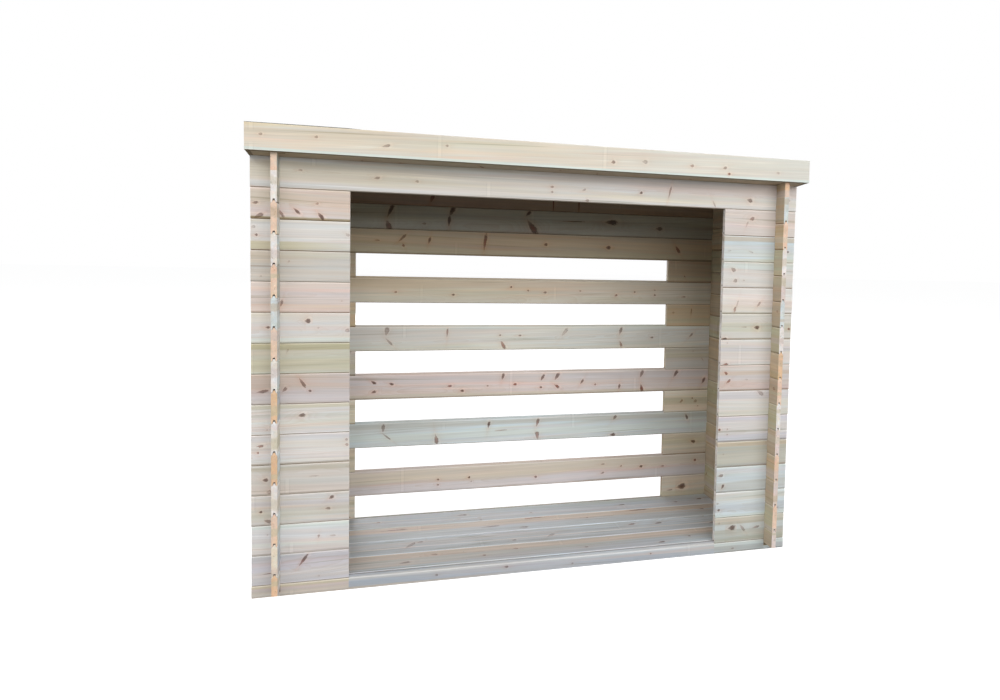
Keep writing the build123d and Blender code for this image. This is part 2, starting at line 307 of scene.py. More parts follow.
def wire(tree, kind, inputs=None, out=0, **settings):
    """Adds a node, sets it up, feeds its inputs (a socket is linked, a value is set) and gives one output."""
    made = tree.nodes.new("ShaderNode" + kind)
    for key, value in settings.items():
        setattr(made, key, value)
    for key, value in (inputs or {}).items():
        if isinstance(value, bpy.types.NodeSocket):
            tree.links.new(value, made.inputs[key])
        else:
            made.inputs[key].default_value = value
    return made.outputs[out]


def work_out(tree, operation, *values, clamp=False):
    """A Math node on sockets or numbers."""
    return wire(tree, "Math", dict(enumerate(values)), operation=operation, use_clamp=clamp)


def ramp(tree, value, start, end, low=0.0, high=1.0):
    """Runs evenly from low at start to high at end, and stays there."""
    return wire(tree, "MapRange", {0: value, 1: start, 2: end, 3: low, 4: high},
                interpolation_type="SMOOTHSTEP")


def dye(tree, blend, share, under, over):
    """A colour Mix node: share of over on under."""
    return wire(tree, "Mix", {0: share, 6: under, 7: over}, out=2, data_type="RGBA", blend_type=blend)


def stretched_noise(tree, vector, scale, detail=2.0):
    """Noise on given coordinates, drawn out by a different amount each way; 0 to 1."""
    moved = wire(tree, "VectorMath", {0: vector, 1: scale}, operation="MULTIPLY")
    return wire(tree, "TexNoise", {"Vector": moved, "Scale": 1.0, "Detail": detail, "Roughness": 0.55})


# Planed pine: year rings cut by the face, long streaks, patches of olive, pink and chalk along the grain,
# up to four bands of heartwood, knots that push the rings aside, the pale print of a stacking lath here
# and there, joints darkened by grime together with painted shade on their downward bevels, a painted
# highlight on their upward bevels, arrises paler from wear together with a painted highlight, and sawn end
# grain.
pine = bpy.data.node_groups.new("planed_pine", "ShaderNodeTree")
for label, usual in {"Ring Width": 0.0036, "Ring Depth": 0.22, "Streaks": 0.25, "Stain": 0.6,
                     "Rubbing": 0.10, "Soot": 1.0}.items():
    pine.interface.new_socket(label, in_out="INPUT", socket_type="NodeSocketFloat").default_value = usual
for label, kind in {"Color": "Color", "Roughness": "Float", "Height": "Float"}.items():
    pine.interface.new_socket(label, in_out="OUTPUT", socket_type="NodeSocket" + kind)
given, gives = pine.nodes.new("NodeGroupInput").outputs, pine.nodes.new("NodeGroupOutput").inputs
calc, rise, mix = (partial(f, pine) for f in (work_out, ramp, dye))
plus, less, size, add_share = (partial(calc, f) for f in ("ADD", "SUBTRACT", "ABSOLUTE", "MULTIPLY_ADD"))


def times(value, *others, clamp=False):
    """The product of sockets and numbers; clamp holds it to 0 to 1."""
    for other in others[:-1]:
        value = calc("MULTIPLY", value, other)
    return calc("MULTIPLY", value, others[-1], clamp=clamp)


def read(label, out="Fac"):
    """One of the timber's own attributes."""
    return wire(pine, "Attribute", out=out, attribute_name=label)


grain, own, knot = read("grain", "Vector"), read("tint", "Color"), read("knot", "Vector")
rubbed_and_highlit, knot_dark, sawn, soot = read("rub"), read("knot_dark"), read("sawn"), read("soot")
place = wire(pine, "SeparateXYZ", {0: grain}).node.outputs
p, q, knot_radius = wire(pine, "SeparateXYZ", {0: knot}).node.outputs
noise = partial(stretched_noise, pine, grain)


def swing(scale, detail=2.0):
    """Noise on the grain, to either side of nothing."""
    return less(noise(scale, detail), 0.5)


def patches(scale, detail, start, end, low=0.0, high=1.0):
    """Where the noise on the grain runs high."""
    return rise(noise(scale, detail), start, end, low, high)


def ridge(value, middle, out, full):
    """1 within 'full' of the middle, and 0 from 'out' of it outwards."""
    return rise(size(less(value, middle)), out, full)


sway = times(swing((1.6, 7, 7)), 0.030)
ripple = times(swing((26, 60, 60), 1), 0.0022)
from_pith = calc("SQRT", plus(calc("POWER", place[1], 2.0), calc("POWER", place[2], 2.0)))
pp, qq = times(p, p), times(q, q)
push = times(calc("DIVIDE", q, plus(qq, 1.0)), calc("EXPONENT", times(pp, -0.12)), times(knot_radius, 2.4))
ring_place = plus(plus(from_pith, sway), less(ripple, push))
year = calc("FRACT", calc("DIVIDE", ring_place, given["Ring Width"]))
late = times(calc("POWER", year, 2.2), patches((1.1, 16, 16), 2, 0.36, 0.68, 0.3, 1.3))
streak = plus(swing((2.2, 260, 260), 3), times(swing((1.2, 62, 62)), 1.4))
hairline = patches((0.9, 120, 120), 1, 0.66, 0.74)
glint = patches((1.7, 150, 150), 1, 0.66, 0.76)
cloud = swing((3.2, 9, 9), 1)

# knot: wedge shaped heart, bark line round it, reddish resin and shadow along the grain
wedge_q = calc("DIVIDE", q, calc("MAXIMUM", add_share(p, 0.42, 0.86), 0.3))
reach = calc("SQRT", plus(pp, times(wedge_q, wedge_q)))
reach = add_share(swing((150, 190, 190)), 1.1, reach)
faded = rise(p, -1.25, 0.1, 0.35, 1.0)
heart = times(rise(reach, 1.0, 0.45), faded, calc("POWER", knot_dark, 1.6))
ring_line = times(ridge(reach, 0.85, 0.34, 0.04), faded, calc("POWER", knot_dark, 0.7))
halo = times(ridge(reach, 1.55, 0.55, 0.1), knot_dark)
tail = plus(times(size(p), 0.55), times(size(q), 0.75))
resin = calc("EXPONENT", times(calc("MAXIMUM", less(tail, 0.5), 0.0), -0.9))
resin = times(resin, knot_dark, 0.55, clamp=True)

# print of a stacking lath: a pale stripe square to the grain between two faint edges
LATHS, LATH_APART = 1.55, 0.645          # to a metre, and from one to the next
stripe = times(size(less(calc("FRACT", times(place[0], LATHS)), 0.5)), LATH_APART)
printed = patches((3.1, 9, 9), 0, 0.52, 0.60)
pale_print = times(rise(stripe, 0.0075, 0.0045), printed)
edge_print = times(ridge(stripe, 0.0085, 0.0024, 0.0006), printed)

COOL, WARM = (0.955, 1.006, 1.065, 1), (1.036, 0.985, 0.945, 1)
LATE_WOOD, HAIRLINE, RESIN = (0.76, 0.62, 0.47, 1), (0.50, 0.48, 0.36, 1), (0.86, 0.60, 0.47, 1)
BROWN_KNOT, RED_KNOT, BARK_RING = (0.19, 0.125, 0.110, 1), (0.40, 0.16, 0.12, 1), (0.20, 0.13, 0.11, 1)
GRIME_AND_SHADE, BEVEL_HIGHLIGHT = (0.36, 0.29, 0.21, 1), (0.82, 0.80, 0.76, 1)
stain, streaks = given["Stain"], given["Streaks"]
tone = own
for scale, start, end, colour in (((0.9, 17, 17), 0.50, 0.68, (0.930, 0.925, 0.800, 1)),      # olive
                                  ((1.3, 24, 29), 0.50, 0.66, (1.005, 0.905, 0.905, 1)),      # pink
                                  ((1.1, 31, 23), 0.52, 0.68, (1.02, 1.085, 1.11, 1))):       # chalk
    tone = mix("MULTIPLY", times(patches(scale, 2, start, end), stain), tone, colour)
tone = mix("MULTIPLY", stain, tone, mix("MIX", patches((2.3, 75, 68), 2, 0.36, 0.64), COOL, WARM))
for n in range(BANDS):
    wander = add_share(swing((2.0, 24, 24)), 1.5, read(f"band_{n}"))
    there = times(rise(size(wander), 1.3, 0.7), read(f"band_tint_{n}", "Alpha"))
    tone = mix("MIX", there, tone, read(f"band_tint_{n}", "Color"))
deep = times(given["Ring Depth"], add_share(sawn, 1.2, 1.0))
tone = mix("MULTIPLY", times(late, deep), tone, LATE_WOOD)
tone = mix("MULTIPLY", times(hairline, times(streaks, 1.8)), tone, HAIRLINE)
value = add_share(streak, streaks, 1.0)
# Arrises are lightened: wear together with a painted highlight.
for mask, amount in ((cloud, 0.12), (glint, times(streaks, 0.55)), (rubbed_and_highlit, given["Rubbing"]),
                     (halo, 0.10), (pale_print, 0.06), (edge_print, -0.06)):
    value = add_share(mask, amount, value)
tone = wire(pine, "VectorMath", {0: tone, "Scale": value}, operation="SCALE")
knot_heart = mix("MIX", patches((9, 9, 9), 0, 0.52, 0.64), BROWN_KNOT, RED_KNOT)
# The last of these darkens joints and grooves: grime together with painted shade on the downward bevels.
for mask, colour in ((resin, RESIN), (times(heart, 0.92), knot_heart), (times(ring_line, 0.75), BARK_RING),
                     (times(soot, given["Soot"], clamp=True), GRIME_AND_SHADE)):
    tone = mix("MULTIPLY", mask, tone, colour)
# Where the joint mark runs below 0, the upward bevel is lightened: a painted highlight.
tone = mix("MIX", times(soot, -0.5, given["Soot"], clamp=True), tone, BEVEL_HIGHLIGHT)
rough = add_share(heart, -0.18, add_share(streak, 0.2, 0.66))
relief = add_share(heart, 0.5, add_share(streak, 0.8, times(late, -0.45)))
for label, result in (("Color", tone), ("Roughness", rough), ("Height", relief)):
    pine.links.new(result, gives[label])


def new_finish(name):
    """A fresh material, its node tree and its one Principled shader."""
    material = bpy.data.materials.new(name)
    material.use_nodes = True
    return material, material.node_tree, material.node_tree.nodes["Principled BSDF"]


def feed(tree, shader, colour, rough, height, strength, distance):
    """Gives a shader its colour, its roughness, and bump from a height."""
    bump = wire(tree, "Bump", {"Strength": strength, "Distance": distance, "Height": height})
    for label, result in (("Base Color", colour), ("Roughness", rough), ("Normal", bump)):
        tree.links.new(result, shader.inputs[label])


def timber(name, specular=0.25, **amounts):
    """A finish of planed pine: the shared group with its own amounts, on one Principled shader."""
    material, tree, shader = new_finish(name)
    shader.inputs["Specular IOR Level"].default_value = specular
    wood = tree.nodes.new("ShaderNodeGroup")
    wood.node_tree = pine
    for label, amount in amounts.items():
        wood.inputs[label.replace("_", " ")].default_value = amount
    feed(tree, shader, wood.outputs["Color"], wood.outputs["Roughness"], wood.outputs["Height"], 0.5, 0.0006)
    return material


front_timber = timber("planed_pine_front")
back_timber = timber("planed_pine_back")

front_low, front_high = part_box("front_sill_log")
back_low, back_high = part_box("back_sill_log")
side_low, side_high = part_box("side_logs_foot")
wall_start, wall_end = front_low.x, front_high.x
wall_front, wall_back = front_low.y, back_high.y
front_mid = (front_low.y + front_high.y) / 2
back_mid = (back_low.y + back_high.y) / 2
side_mid = side_high.x - LOG_T / 2
sill_top = front_high.z - TONGUE_H


def crossings(low, high, spots):
    """Notches where a log crosses others: each from wall to wall, leaving only low to high."""
    reach = LOG_T / 2 + NOTCH_FIT
    return [(s - reach, s + reach, low, high) for s in spots]


ends_x = (-side_mid, side_mid)
THRESHOLD_KNOTS = ((-0.44, 0.024, 0.004, 1.5, 0.1, 0.6), (-0.16, 0.03, 0.005, 1.6, 0, 0.7),
                   (0.12, 0.018, 0.004, 1.2, 0.2, 0.5), (0.47, 0.028, 0.003, 1.2, 0, 0.8))
profile = log_profile(0.0, sill_top, groove=False)
jamb = OPENING / 2
crossing = crossings(0.0, sill_top - CORE, ends_x)
left = carried(profile, "x", front_mid, wall_start, -jamb, "rose",
               {"minus": set_knots(0, (-1.02, 0.02, 0.004, 1.4, 0.2, 0.4))}, crossing[:1],
               bands=[(0.04, 0.006, "khaki", 0.7), (0.012, 0.01, "moss", 0.5)])
threshold = carried(profile, "x", front_mid, -jamb + NICK, jamb - NICK, "steel",
                    {"minus": set_knots(0, *THRESHOLD_KNOTS)},
                    bands=[(0.041, 0.007, "pale", 0.4), (0.028, 0.006, "rose", 0.6, 0.5, -0.4),
                           (0.004, 0.005, "tan", 0.6, -0.7, 0.2)])
right = carried(profile, "x", front_mid, jamb, wall_end, "slate",
                {"minus": set_knots(0, (0.86, 0.016, 0.004, 1.8, 0.2, 0.5))}, crossing[1:],
                bands=[(0.036, 0.008, "mint", 0.5)])
make_piece("front_foot_log", [left, threshold, right], front_timber, "front_logs", "front_sill_log")
back_foot = carried(profile, "x", back_mid, wall_start, wall_end, "drab",
                    {"plus": scatter_knots(wall_start, wall_end, 0, sill_top)}, crossing)
make_piece("back_foot_log", [back_foot], back_timber, "back_logs", "back_sill_log")

# ---------------------------------------------------------------------------
# Floor: four wide planed boards with eased edges, nailed down on four bearers that
# stand on the ground between the walls. Pine gone blue-grey and smooth underfoot; the boards' tint is paler
# and bluer still, a painted sheen of the sky and painted light.
# ---------------------------------------------------------------------------
BOARD_ARRIS = 0.0015
# The floor's worn band is wide, so that it carries a painted highlight along each arris as well as wear.
FLOOR_ARRIS, FLOOR_WORN_AND_HIGHLIT = 0.002, 0.007
BOARD_COUNT, BEARER_COUNT, BOARD_W, BEARER_W = 4, 4, 0.153, 0.045
bearer_low, bearer_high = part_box("floor_bearers")
floor_low, floor_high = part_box("floor_boards")
bearer_places = np.linspace(bearer_low.x + BEARER_W / 2, bearer_high.x - BEARER_W / 2, BEARER_COUNT)
board_places = np.linspace(floor_low.y + BOARD_W / 2, floor_high.y - BOARD_W / 2, BOARD_COUNT)


def board_profile(width, low, top, arris=BOARD_ARRIS, worn_and_highlit=WORN_AND_HIGHLIT_BAND):
    """Cross-section of a flat board: a rectangle with eased corners, run anticlockwise; as for a log."""
    w = width / 2
    across = [-w + arris, -w + arris + worn_and_highlit, w - arris - worn_and_highlit, w - arris, w, w]
    height = [low, low, low, low, low + arris, top - arris]
    half = np.stack([across, height, [1, 0, 0, 1, 1, 1], [0, 0, 0, 0, 0.1, 0.9]], 1)
    other = half * (-1, 1, 1, 1)
    other[:, 1] = low + top - other[:, 1]
    other[:, 3] = 1 - other[:, 3]
    faces = ["bottom"] * 4 + ["side"] + ["top"] * 5 + ["side", "bottom"]
    # A board's sides are darkened: grime together with painted shade between the boards.
    soot = [0.0] * 4 + [0.8] + [0.0] * 5 + [0.8, 0.0]
    return np.concatenate([half, other]), faces, soot


# The floor's arrises are lightened strongly: wear together with a painted highlight.
floor_timber = timber("floor_pine", specular=0.5, Streaks=0.50, Ring_Depth=0.55, Rubbing=0.34)
bearers = [carried(board_profile(BEARER_W, bearer_low.z, bearer_high.z), "y", x, bearer_low.y, bearer_high.y,
                   "moss") for x in bearer_places]
make_piece("floor_bearer_set", bearers, floor_timber, "floor_timber", "floor_bearers")
# Each board from the front: its bands, and its knots (place along, place up from its own front edge, ...).
FLOOR = [
    ([(0.122, 0.028, "rust", 0.55), (0.122, 0.034, "rose", 0.5), (0.055, 0.03, "rose", 0.6, -0.75, 0.6),
      (0.085, 0.01, "drab", 0.5)],
     [(-0.56, 0.055, 0.006, 2.6, 0.2, 0.7), (-0.44, 0.115, 0.005, 2.2, -0.2, 0.6),
      (-0.1, 0.1, 0.005, 1.5, 0, 0.5), (0.2, 0.05, 0.004, 1.6, 0, 0.7), (0.54, 0.03, 0.005, 2.4, 0.2, 0.8),
      (0.69, 0.07, 0.004, 1.2, 0, 0.9), (-0.24, 0.06, 0.004, 1.4, 0, 0.9)]),
    ([(0.1, 0.018, "rose", 0.5, -0.9, 0.4), (0.025, 0.02, "slate", 0.6), (0.06, 0.006, "bone", 0.5)],
     [(-0.53, 0.08, 0.007, 3.4, 0.9, 0.7), (-0.49, 0.108, 0.005, 1.8, 0.3, 0.7),
      (-0.09, 0.04, 0.005, 1.4, 0.2, 0.7), (0.08, 0.06, 0.006, 2.8, 0.7, 0.5),
      (0.48, 0.112, 0.006, 2.2, 0.3, 0.8), (0.61, 0.1, 0.006, 2.2, 0.3, 0.8),
      (0.87, 0.05, 0.008, 1.6, 0.1, 0.7)]),
    ([(0.12, 0.03, "rust", 0.5), (0.12, 0.036, "rose", 0.5), (0.03, 0.02, "slate", 0.6),
      (0.07, 0.008, "rose", 0.5, 0.9, -0.2)],
     [(-0.6, 0.118, 0.005, 9.0, 0.05, 1.0), (-0.17, 0.07, 0.005, 6.0, 0.08, 0.7),
      (-0.02, 0.03, 0.007, 2.0, 0, 0.6), (0.03, 0.14, 0.004, 12.0, 0.03, 0.9),
      (0.3, 0.09, 0.004, 1.3, 0, 0.6), (0.57, 0.14, 0.005, 8.0, 0.04, 1.0), (0.9, 0.09, 0.005, 1.5, 0, 0.7)]),
    ([(0.08, 0.006, "cream", 0.5, -0.9, 0.3), (0.04, 0.02, "lilac", 0.4)],
     [(-0.665, 0.078, 0.005, 1.3, 0.2, 0.9), (-0.28, 0.095, 0.007, 2.2, 0.1, 0.9),
      (-0.2, 0.01, 0.004, 1.3, 0, 0.8), (0.05, 0.06, 0.004, 1.2, 0, 0.6), (0.52, 0.075, 0.005, 2.6, 0.3, 0.8),
      (0.81, 0.06, 0.005, 1.5, 0, 0.7), (0.95, 0.08, 0.006, 2.0, 0.3, 0.9)]),
]
# The boards' pale 'slate' tint is partly the pine's own grey and partly a painted sheen of the sky and
# painted light.
boards = []
for y, (bands, knots) in zip(board_places, FLOOR):
    spots = {"top": set_knots(y - BOARD_W / 2, *knots, grown=1.4)}
    boards.append(carried(board_profile(BOARD_W, floor_low.z, floor_high.z, FLOOR_ARRIS, FLOOR_WORN_AND_HIGHLIT), "x", y,
                          floor_low.x, floor_high.x, "slate", spots, bands=bands))
make_piece("floor_board_set", boards, floor_timber, "floor_timber", "floor_boards")

# ---------------------------------------------------------------------------
# Side walls: fifteen courses of logs laid front to back, left and right, half a
# course out of step with the front and back walls and notched over them. Their
# sawn ends stand out past the front as an upright strip at each side.
# ---------------------------------------------------------------------------
side_timber = timber("planed_pine_sides", Soot=0.9)
FOOT_CLEAR = 0.031       # the lowest logs' ends are sawn clear of the ground
FALL = LOG_H / 2         # the roof drops half a course over the depth of the walls
side_start, side_end = side_low.y, side_high.y
side_foot_top = side_high.z - TONGUE_H
lintel_low, lintel_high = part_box("front_lintel_log")
wall_top = lintel_high.z
cross_y = (front_mid, back_mid)
# Tint of each course's sawn end, outer face and inner face, from the ground up.
LEFT_SIDE = [("amber", "rose", "pale"), ("butter", "pale", "slate"), ("peach", "lilac", "ice"),
             ("bone", "pink", "pale"), ("amber", "pale", "ice"), ("bone", "rose", "chalk"),
             ("amber", "chalk", "slate"), ("bone", "moss", "ice"), ("peach", "cream", "pale"),
             ("ice", "pale", "ice"), ("peach", "straw", "drab"), ("bone", "pink", "ice"),
             ("peach", "pale", "pale"), ("bone", "moss", "drab"), ("peach", "cream", "drab")]
# The right wall's inner faces, on the shaded side, get tan, khaki and honey, darker and warmer than the left
# wall's inner faces: painted shade with a painted warm bounce.
RIGHT_SIDE = [("pink", "moss", "tan"), ("peach", "slate", "khaki"), ("pink", "lilac", "tan"),
              ("peach", "pale", "honey"), ("pink", "rose", "tan"), ("bone", "chalk", "khaki"),
              ("peach", "pale", "tan"), ("amber", "ice", "honey"), ("bone", "rose", "khaki"),
              ("ice", "pale", "tan"), ("pink", "straw", "tan"), ("bone", "chalk", "khaki"),
              ("peach", "pink", "honey"), ("ice", "pale", "tan"), ("amber", "moss", "honey")]


def roof_under(y):
    """Height of the roof's underside: a plane that drops evenly from the front wall's face to the back's."""
    return wall_top - FALL * (y - wall_front) / (wall_back - wall_front)


def planed(top):
    """A lift that takes a log's head from an even height to the roof's underside."""
    return lambda y, share: share * (roof_under(y) - top)


def side_pair(course, low, top, notches, groove=True, tongue=True, end=side_end, lift=None, marks=()):
    """The left and the right log of one course."""
    made = []
    for x, (sawn_end, outer, inner), inward in ((-side_mid, LEFT_SIDE[course], "plus"),
                                                (side_mid, RIGHT_SIDE[course], "minus")):
        spots = {face: scatter_knots(side_start, end, low, top, 0.26) for face in ("minus", "plus")}
        band = (luck.uniform(0.01, 0.10), luck.uniform(0.006, 0.022),
                str(luck.choice(["khaki", "straw", "tan", "rose"])), 0.6)
        a, b = side_start + luck.uniform(0, SAW_SLIP), end - luck.uniform(0, SAW_SLIP)
        made.append(carried(log_profile(low, top, groove, tongue), "y", x, a, b,
                            {"": outer, inward: inner, "end": sawn_end}, spots, notches, lift,
                            marks=marks, bands=[band]))
    return made


def clear_of_ground(y, share):
    """Lifts the foot of the lowest log, least at its head, where it stands out past the walls."""
    return np.where((y < wall_front) | (y > wall_back), (1 - share) * FOOT_CLEAR, 0.0)


TOP_COURSE = 13          # the last whole course; a wedge lies on it
foot_marks = [wall + nick for wall in (wall_front, wall_back) for nick in (-NICK, NICK)]
pair = side_pair(0, 0.0, side_foot_top, crossings(sill_top - CORE, side_foot_top - CORE, cross_y),
                 groove=False, lift=clear_of_ground, marks=foot_marks)
make_piece("side_log_pair_00", pair, side_timber, "side_logs", "side_logs_foot")
for course in range(1, TOP_COURSE + 1):
    low = side_foot_top + (course - 1) * LOG_H
    top = low + LOG_H
    last = course == TOP_COURSE
    drop = (lambda y, share: share * np.minimum(0, roof_under(y) - top)) if last else None
    pair = side_pair(course, low, top, crossings(low + CORE, top - CORE, cross_y), tongue=not last,
                     lift=drop, marks=(wall_back,) if last else ())
    make_piece(f"side_log_pair_{course:02d}", pair, side_timber, "side_logs", f"side_logs_{course:02d}")
wedge_low, wedge_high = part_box("side_logs_top")
pair = side_pair(TOP_COURSE + 1, wedge_low.z, wedge_high.z,
                 crossings(wedge_low.z + CORE, roof_under, (front_mid,)), groove=False, tongue=False,
                 end=wedge_high.y, lift=planed(wedge_high.z))
make_piece("side_log_pair_top", pair, side_timber, "side_logs", "side_logs_top")

# ---------------------------------------------------------------------------
# Front wall each side of the opening: thirteen short planed logs to a side,
# tongued into each other and notched over the side walls near their outer ends.
# ---------------------------------------------------------------------------
# Each log from the ground up: its tint, its bands, and its knots (place along, height in the log, ...).
LEFT_PANEL = [
    ("lilac", [(0.1, 0.012, "slate", 0.4), (0.03, 0.02, "pale", 0.4)],
     [(-0.935, 0.085, 0.0055, 4.6, 0.95, 0.9), (-1.06, 0.045, 0.0016, 14, 0.08, 0.8),
      (-0.88, 0.02, 0.003, 1.4, 0, 0.3)]),
    ("chalk", [(0.107, 0.006, "mint", 0.7), (0.018, 0.016, "rose", 0.4), (0.07, 0.02, "lilac", 0.5)],
     [(-0.88, 0.06, 0.0042, 1.5, 1.4, 0.6), (-0.83, 0.059, 0.003, 3.5, 0, 0.4),
      (-1.06, 0.08, 0.003, 1.2, 0, 0.35)]),
    ("pale", [(0.082, 0.01, "lilac", 0.6), (0.045, 0.014, "moss", 0.4)],
     [(-0.835, 0.094, 0.0062, 1.5, 0.6, 0.9), (-0.848, 0.052, 0.005, 1.8, 0, 0.7),
      (-1.083, 0.054, 0.0045, 1.3, 0, 1.0), (-1.059, 0.018, 0.0062, 2.0, -0.35, 0.7)]),
    ("linen", [(0.06, 0.03, "pale", 0.5), (0.1, 0.008, "khaki", 0.3), (0.02, 0.016, "pink", 0.4)],
     [(-1.067, 0.06, 0.0065, 1.4, 0, 0.9), (-1.054, 0.014, 0.0075, 1.0, 0, 0.45),
      (-0.9, 0.066, 0.002, 8, 0, 0.4)]),
    ("chalk", [(0.1, 0.013, "lilac", 0.5), (0.062, 0.004, "rose", 0.5, -1.0, -0.8)],
     [(-1.085, 0.074, 0.0045, 3.0, 0.2, 0.8), (-1.091, 0.05, 0.004, 1.2, 0, 0.9),
      (-0.782, 0.086, 0.005, 1.1, 0.3, 0.55), (-0.781, 0.067, 0.005, 1.2, 0, 0.6)]),
    ("chalk", [(0.106, 0.008, "khaki", 0.6), (0.07, 0.006, "moss", 0.4)],
     [(-0.941, 0.071, 0.007, 1.7, 0.15, 0.9), (-1.06, 0.02, 0.003, 1.2, 0, 0.3)]),
    ("rose", [(0.085, 0.028, "tan", 0.35, -1.0, -0.78), (0.026, 0.026, "lilac", 0.6)],
     [(-0.938, 0.08, 0.0055, 3.8, -1.0, 0.8), (-0.912, 0.049, 0.0045, 1.2, 0, 0.9),
      (-1.076, 0.05, 0.0055, 3.4, 0.1, 0.8), (-1.0, 0.055, 0.0055, 2.0, 0.8, 0.7)]),
    ("moss", [(0.104, 0.012, "olive", 0.75), (0.036, 0.024, "khaki", 0.6)],
     [(-0.99, 0.085, 0.003, 3.0, 1.2, 0.3)]),
    ("chalk", [(0.058, 0.007, "pink", 0.6), (0.01, 0.01, "mint", 0.6)],
     [(-0.92, 0.084, 0.0085, 1.1, 0, 0.95), (-1.057, 0.06, 0.0045, 1.6, 0, 0.9),
      (-0.781, 0.047, 0.007, 1.2, 0.3, 0.5), (-0.883, 0.058, 0.003, 1.3, 0, 0.35)]),
    ("salmon", [(0.052, 0.022, "lilac", 0.5), (0.1, 0.012, "pale", 0.3)],
     [(-1.01, 0.034, 0.0048, 2.4, 1.3, 0.75), (-0.8, 0.045, 0.002, 1.3, 0, 0.5)]),
    ("linen", [(0.088, 0.022, "tan", 0.4, -1.1, -0.8), (0.057, 0.0022, "brown", 0.7, -1.08, -0.86)],
     [(-0.985, 0.075, 0.003, 1.6, 0.9, 0.35), (-1.08, 0.02, 0.003, 1.3, 0, 0.3)]),
    ("pale", [(0.019, 0.014, "khaki", 0.9, -0.98, -0.7), (0.07, 0.014, "chalk", 0.6)],
     [(-1.095, 0.056, 0.0042, 1.3, 0, 0.85), (-1.105, 0.085, 0.005, 1.4, 0.4, 0.4),
      (-0.78, 0.066, 0.005, 1.6, -0.6, 0.4)]),
    ("pink", [(0.075, 0.03, "straw", 0.5, -1.1, -0.88), (0.004, 0.006, "olive", 0.7)],
     [(-1.098, 0.058, 0.0048, 2.0, 0.1, 0.8), (-1.086, 0.012, 0.0068, 2.4, 0.5, 0.75),
      (-1.011, 0.024, 0.0048, 3.4, -1.0, 0.75), (-0.958, 0.034, 0.0052, 2.6, -0.75, 0.95),
      (-0.888, 0.063, 0.0038, 1.6, 0.3, 0.6), (-0.874, 0.018, 0.0066, 2.4, -0.9, 1.0)]),
]
RIGHT_PANEL = [
    ("drab", [(0.07, 0.012, "ice", 0.7), (0.104, 0.01, "straw", 0.4)],
     [(0.853, 0.066, 0.011, 1.5, 0.15, 0.95), (0.906, 0.062, 0.006, 3.2, -0.9, 0.55),
      (0.972, 0.06, 0.005, 3.0, 0.2, 0.6), (0.79, 0.09, 0.004, 1.4, 0, 0.3)]),
    ("ice", [(0.094, 0.014, "straw", 0.4), (0.04, 0.02, "slate", 0.6)],
     [(0.786, 0.037, 0.0052, 1.3, 0, 0.95), (0.78, 0.066, 0.004, 1.4, 0, 0.5),
      (1.08, 0.03, 0.004, 1.2, 0, 0.4)]),
    ("ice", [(0.03, 0.022, "drab", 0.5), (0.095, 0.01, "lilac", 0.5)],
     [(0.789, 0.078, 0.0062, 1.9, 0.1, 0.75), (0.802, 0.028, 0.0055, 2.2, 1.1, 0.95),
      (1.07, 0.06, 0.004, 1.3, 0, 0.4)]),
    ("drab", [(0.103, 0.01, "tan", 0.75), (0.04, 0.024, "moss", 0.5)], [(0.8, 0.06, 0.003, 1.5, 0, 0.3)]),
    ("lilac", [(0.06, 0.026, "pale", 0.7), (0.01, 0.008, "slate", 0.5)],
     [(0.776, 0.057, 0.0055, 1.2, 0, 1.0), (0.815, 0.058, 0.0035, 1.2, 0, 0.45),
      (0.815, 0.034, 0.0035, 1.2, 0, 0.45), (1.055, 0.068, 0.006, 1.4, 0.2, 0.9),
      (1.05, 0.094, 0.005, 1.4, 0.9, 0.5)]),
    ("pale", [(0.095, 0.016, "lilac", 0.7), (0.012, 0.012, "moss", 0.5)],
     [(0.97, 0.104, 0.008, 2.2, -0.6, 0.5)]),
    ("rose", [(0.06, 0.012, "lilac", 0.6), (0.1, 0.01, "pale", 0.6)],
     [(0.799, 0.081, 0.006, 1.6, -0.7, 0.9), (0.812, 0.043, 0.0052, 2.2, 0.7, 0.85),
      (0.9, 0.05, 0.003, 2.5, 0, 0.3)]),
    ("pale", [(0.072, 0.01, "lilac", 0.7), (0.03, 0.022, "pink", 0.5)],
     [(0.795, 0.006, 0.005, 2.4, 0.1, 0.9), (0.8, 0.1, 0.003, 1.4, 0, 0.3)]),
    ("moss", [(0.02, 0.014, "pale", 0.8), (0.094, 0.018, "pale", 0.8)],
     [(0.941, 0.054, 0.0092, 1.3, 0, 1.0), (0.786, 0.004, 0.006, 1.8, 0, 1.0),
      (0.88, 0.056, 0.003, 4.0, 0, 0.35), (1.102, 0.047, 0.0055, 1.2, 0, 1.0)]),
    ("chalk", [(0.1, 0.01, "pale", 0.6), (0.03, 0.02, "pink", 0.3)],
     [(0.832, 0.018, 0.006, 2.0, 1.3, 0.7), (0.842, 0.04, 0.003, 6.0, 1.3, 0.4),
      (0.947, 0.042, 0.0048, 2.8, 0.9, 0.6)]),
    ("pale", [(0.1, 0.012, "mint", 0.6), (0.04, 0.02, "chalk", 0.5)],
     [(0.817, 0.081, 0.0085, 1.4, -0.6, 0.65), (0.828, 0.031, 0.008, 1.2, 0.4, 0.55),
      (0.87, 0.034, 0.003, 1.4, 0, 0.4)]),
    ("ice", [(0.1, 0.01, "tan", 0.65), (0.008, 0.008, "khaki", 0.4)],
     [(0.795, 0.048, 0.003, 3.0, 0.2, 0.3), (0.9, 0.046, 0.003, 4.0, -0.3, 0.35),
      (1.08, 0.05, 0.0048, 1.6, 0, 0.9)]),
    ("pink", [(0.02, 0.018, "pale", 0.6), (0.095, 0.016, "pale", 0.4)],
     [(0.899, 0.076, 0.0075, 1.5, 0.3, 0.7), (0.876, 0.05, 0.0035, 4.0, 1.2, 0.35)]),
]
panels = {"a": [], "b": []}
